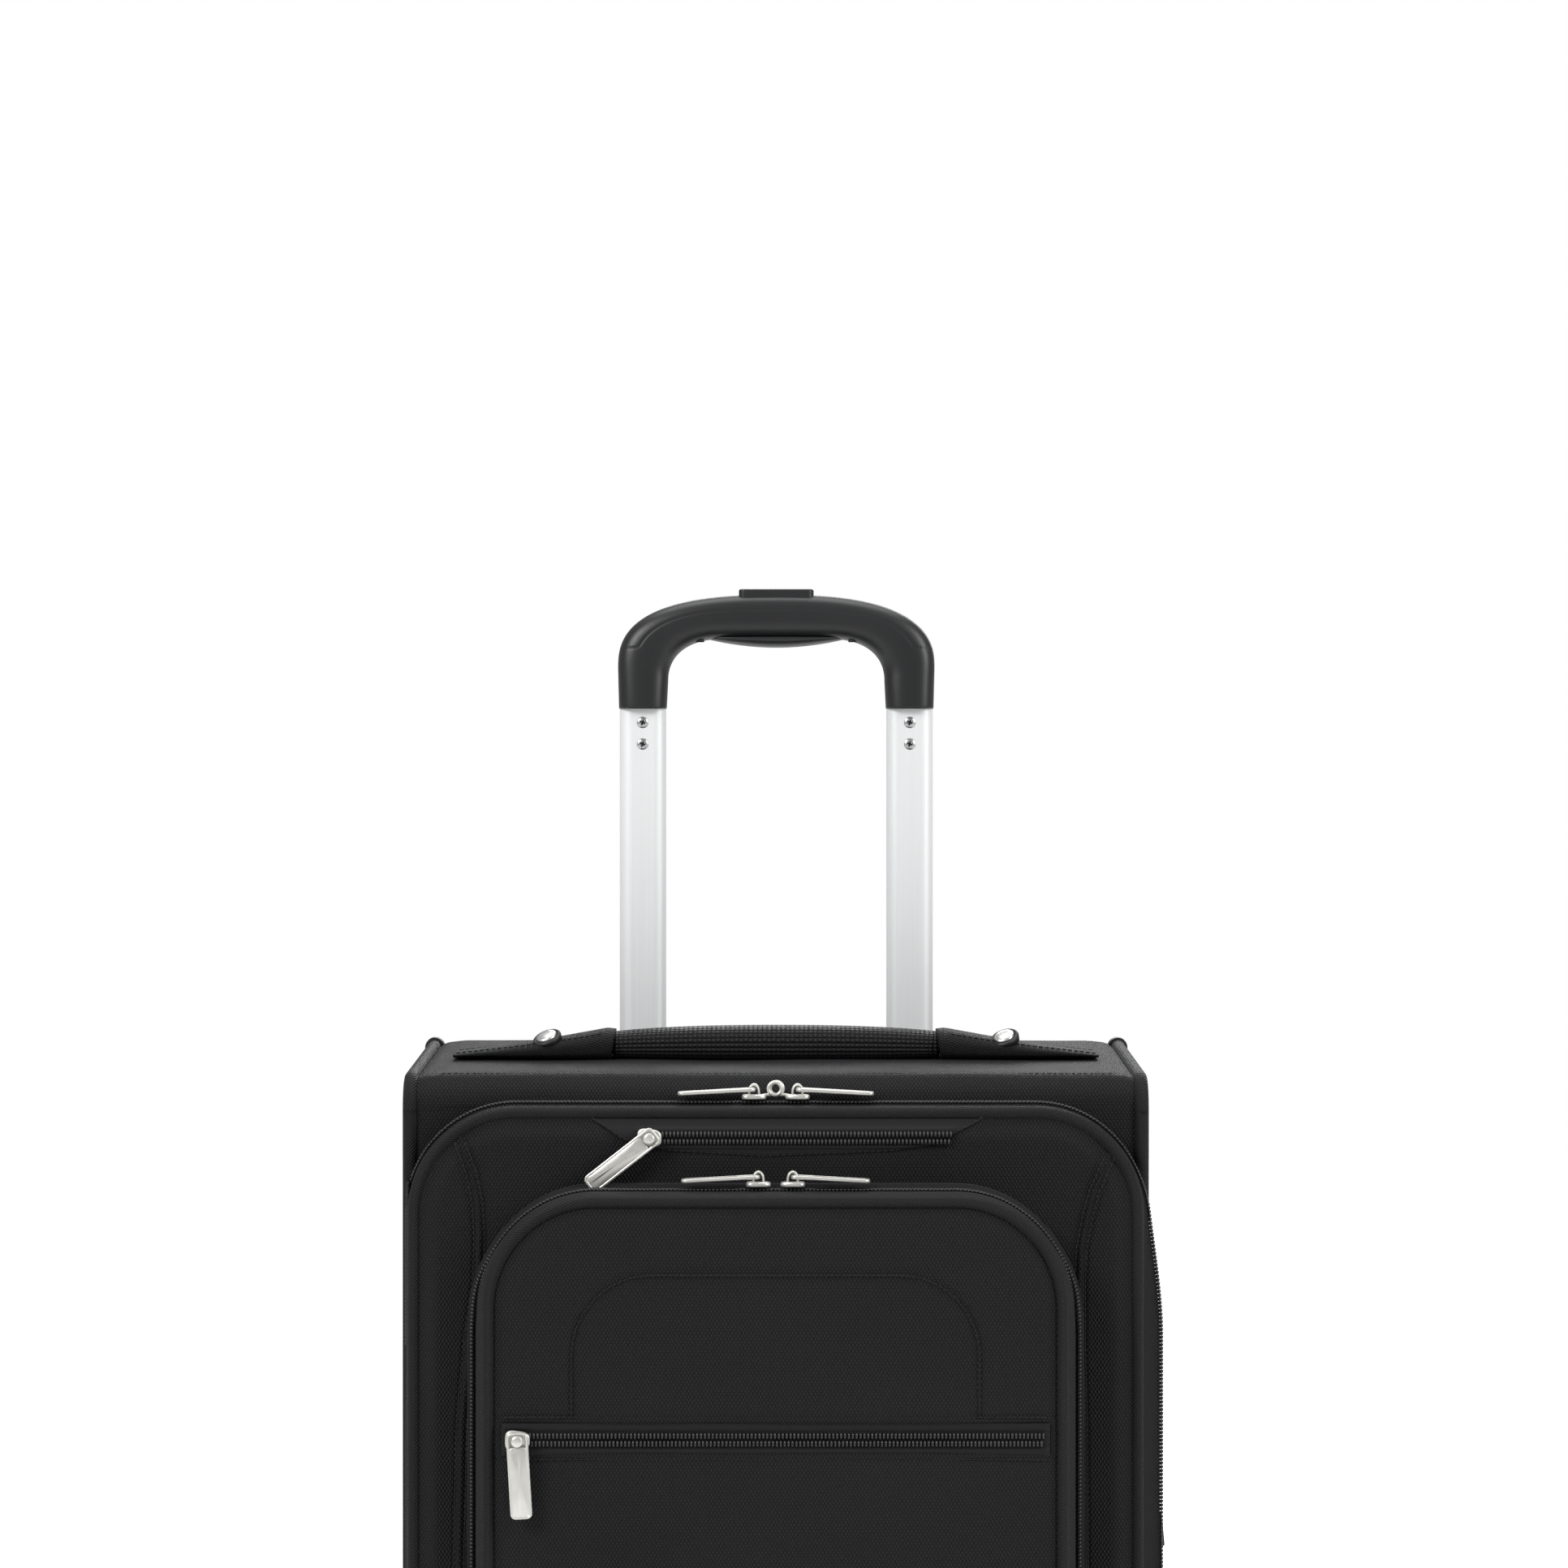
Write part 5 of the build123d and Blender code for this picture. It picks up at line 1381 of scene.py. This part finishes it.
def make_screws():
    """Four pan-head screws with cross recesses: a dome less two crossed slots, with the recess and the rim
    round the head in black as painted shade.
    """
    low, high = box("tube_screws")
    radius = 2.8 * MM
    share = np.r_[0.03, np.linspace(0.08, 0.96, 22), 1.0, 1.0]
    turn = np.linspace(0, TAU, 72, endpoint=False) + 0.4
    a = share[:, None] * np.cos(turn)[None]
    b = share[:, None] * np.sin(turn)[None]
    lean_a, lean_b = a * 0.94 - b * 0.34, a * 0.34 + b * 0.94
    def slot_cut(p, q):
        return smooth_step((0.17 - np.abs(p)) / 0.09) * smooth_step((0.62 - np.abs(q)) / 0.12)
    cross = np.maximum(slot_cut(lean_a, lean_b), slot_cut(lean_b, lean_a))
    rise = 0.95 * MM * (1 - 0.75 * share[:, None] ** 2.6) - 1.7 * MM * cross
    rise[-2], rise[-1] = 0.12 * MM, -0.6 * MM
    parts = []
    for x in (-TUBE_X, TUBE_X):
        for z in (high[2] - radius, low[2] + radius):
            points = np.stack([x + a * radius, 88.9 * MM - rise, z + b * radius], -1)
            parts.append(mesh_piece("tube_screw_heads", points.reshape(-1, 3), tube_quads(len(share), 72)))
    heads = join_meshes("tube_screw_heads", parts)
    dress(heads, "steel", "handle", ["tube_screws"])
    quads = tube_quads(len(share), 72)
    deep = np.zeros(len(share) * 72)
    deep[: cross.size] = cross.ravel()
    # Painted shade: the faces in the cross recess and the lowest rings round the head's rim take the black
    # finish, a painted shade in the recess and a painted shadow ring under the head.
    dark = np.array([deep[list(quad)].mean() > 0.3 for quad in quads])
    dark |= np.array([min(quad) >= (len(share) - 3) * 72 for quad in quads])
    heads.data.materials.append(LOOKS["black"])
    heads.data.polygons.foreach_set("material_index", np.tile(dark, 4).astype(np.int32))


def make_rivet(name, origin, up, reach, body="case"):
    """A round rivet: a black dished washer and a polished dome."""
    place = (origin, np.roll(np.abs(np.asarray(up)), 1), up)
    ring = squarish(1.0, 1.0, 48, 2.0)
    washer = ((6.6, -2.4), (7.0, 0.2), (6.8, 0.9), (6.2, 1.3), (5.4, 1.1), (5.0, 0.5), (0.6, 0.4))
    base = stacked(ring, [(r * MM, h * MM) for r, h in washer])
    base[..., 2] = np.array([h * MM for r, h in washer])[:, None]
    dress(loft(name + "_washer", base, place), "black", body)
    turn = np.linspace(0, np.pi / 2, 12)
    radius = 4.9 * MM * np.cos(turn) ** 0.8 + 0.02 * MM
    height = (1.2 + reach * np.sin(turn)) * MM
    dome = stacked(ring, [(4.9 * MM, 0.4 * MM), *zip(radius, height)])
    return dress(loft(name + "_dome", dome, place), "rivet", body)


def make_rivets():
    """Rivets through the top handle's tabs and the two studs on the hinge side."""
    front = PAD_Y - 10.5 * MM
    make_rivet("rivet_left", (-108.6 * MM, front, 555.2 * MM), (-0.10, -0.38, 0.92), 1.6)
    last = make_rivet("rivet_right", (108.6 * MM, front, 555.2 * MM), (0.10, -0.38, 0.92), 1.6)
    for name, height in (("upper", 440.0), ("lower", 162.0)):
        make_rivet(f"side_stud_{name}", (-171.2 * MM, 30 * MM, height * MM), (-1, 0, 0), 4.4)
    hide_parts("rivet_bases", "rivet_caps")


def make_hinge_cloth():
    """The strip of cloth that joins the lid to the case down the side without a zip."""
    z = np.linspace(0.100, 0.494, 120)
    depth = np.linspace(-74.4, -90.0, 22) * MM
    gy, gz = np.meshgrid(depth, z)
    fold = groove(gy + 82 * MM, 2.2 * MM, 0.9 * MM)
    gx = -(LID_W + 4.6 * MM) + fold + drape(gy * 3, gz, 0.25 * MM)
    gx = gx + 1.2 * MM * smooth_step((-86e-3 - gy) / 4e-3)
    strip = cloth_piece("hinge_cloth", gx, gy, gz, gy, gz, (-1, 0, 0))
    thicken(strip, 0.9 * MM)
    dress(strip, "shell", None, ["hinge_strip"])
    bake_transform(strip)


def make_pocket_hinge_cloth():
    """The pocket's lower gusset: cloth from the lid's face to the pocket's lower edge."""
    x = np.linspace(-0.084, 0.084, 90)
    depth = np.linspace(-97.5, -123.0, 30) * MM
    gx, gy = np.meshgrid(x, depth)
    gz = POCKET_LOW - 1.8 * MM + drape(gx, gy * 3, 0.3 * MM) + groove(gy + 110 * MM, 8 * MM, -0.8 * MM)
    strip = cloth_piece("pocket_foot_cloth", gx, gy, gz, gx, gy, (0, 0, -1))
    thicken(strip, 0.9 * MM)
    dress(strip, "tape", None)
    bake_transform(strip)


make_grip()
make_grip_cover()
make_grip_wells()
make_button_spring()
make_screws()
make_rivets()
make_hinge_cloth()
make_pocket_hinge_cloth()
make_carry_pad()
make_carry_tabs()
make_grab_handle()


# ---- light, floor and camera --------------------------------------------------------------------


def make_stage():
    """A pale floor, three large soft lamps and the camera in front at the height of the grip."""
    bpy.ops.mesh.primitive_plane_add(size=14, location=(0, 0, 0))
    floor = bpy.context.object
    floor.name = "pale_floor"
    material, g, shader = new_material("pale floor")
    place = g.add("ShaderNodeTexCoord")
    cloud = g.add("ShaderNodeTexNoise", {"Vector": place.outputs["Object"], "Scale": 3.0, "Detail": 3.0})
    pale = ramp(g, cloud.outputs[0], (0.93, 0.93, 0.93), (0.97, 0.97, 0.97))
    g.links.new(pale, shader.inputs["Base Color"])
    shader.inputs["Roughness"].default_value = 0.9
    seen = g.add("ShaderNodeLightPath").outputs["Is Camera Ray"]
    shader.inputs["Emission Color"].default_value = (1, 1, 1, 1)
    g.links.new(g.math("MULTIPLY", seen, 0.8), shader.inputs["Emission Strength"])
    floor.data.materials.append(material)
    world = bpy.data.worlds.new("studio")
    bpy.context.scene.world = world
    world.use_nodes = True
    sky = Graph(world.node_tree)
    seen = sky.add("ShaderNodeLightPath").outputs["Is Camera Ray"]
    background = world.node_tree.nodes["Background"]
    background.inputs[0].default_value = (1, 1, 1, 1)
    sky.links.new(sky.math("MULTIPLY_ADD", seen, 1.0 - ROOM_LIGHT, ROOM_LIGHT), background.inputs[1])
    for name, spot, aim, size, power in LAMPS:
        lamp = bpy.data.lights.new(name, "AREA")
        lamp.shape = "RECTANGLE"
        lamp.size, lamp.size_y = size
        lamp.energy = power
        thing = bpy.data.objects.new(name, lamp)
        thing.location = spot
        direction = np.array(aim) - np.array(spot)
        thing.rotation_euler = (
            np.arccos(-direction[2] / np.linalg.norm(direction)),
            0.0,
            np.arctan2(direction[1], direction[0]) - np.pi / 2,
        )
        bpy.context.scene.collection.objects.link(thing)
    bpy.context.scene.view_settings.view_transform = "Standard"
    camera = bpy.data.cameras.new("camera")
    camera.lens = 121
    camera.sensor_width = 36
    eye = bpy.data.objects.new("camera", camera)
    eye.location = (0.0038, -2.499, 0.676)
    eye.rotation_euler = (np.pi / 2, 0, 0)
    bpy.context.scene.collection.objects.link(eye)
    bpy.context.scene.camera = eye


ROOM_LIGHT = 0.36
LAMPS = (
    ("upper left softbox", (-1.6, -1.5, 1.9), (0, 0, 0.45), (1.0, 1.0), 40.0),
    ("upper right softbox", (1.8, -1.0, 1.5), (0, 0, 0.45), (0.8, 1.4), 26.0),
    ("top softbox", (0, 0.3, 2.3), (0, 0, 0.5), (1.6, 1.2), 20.0),
    ("rear softbox", (0.4, 2.2, 1.6), (0, 0, 0.45), (1.6, 1.2), 26.0),
)
make_stage()

FRAME_LOOKS = {
    "black": ("corner_guards", "handle_cup", "tube_foot", "kick_plate", "wheel_housings", "rivet_bases",
              "mid_collars", "lock_plugs"),
    "lining": ("tube_cover",),
    "rubber": ("front_feet", "left_tyre", "right_tyre"),
    "steel": ("release_rods", "wheel_axles", "button_spring"),
    "grip": ("grip_body", "grip_under_cover", "push_button"),
    "tube": ("inner_tubes", "mid_tubes", "outer_tubes"),
    "nickel": ("tube_screws",),
    "rivet": ("rivet_caps",),
    "hub": ("left_hub", "right_hub"),
    "webbing": ("packing_straps",),
    "shell": ("hinge_strip",),
    "tape": ("lid_rim",),
}


def finish_frame_parts():
    """Each frame part's finish; only its materials change."""
    for look, names in FRAME_LOOKS.items():
        for name in names:
            slots = nodes[name].data.materials
            if not len(slots):
                slots.append(LOOKS[look])
            for index in range(len(slots)):
                slots[index] = LOOKS[look]


finish_frame_parts()
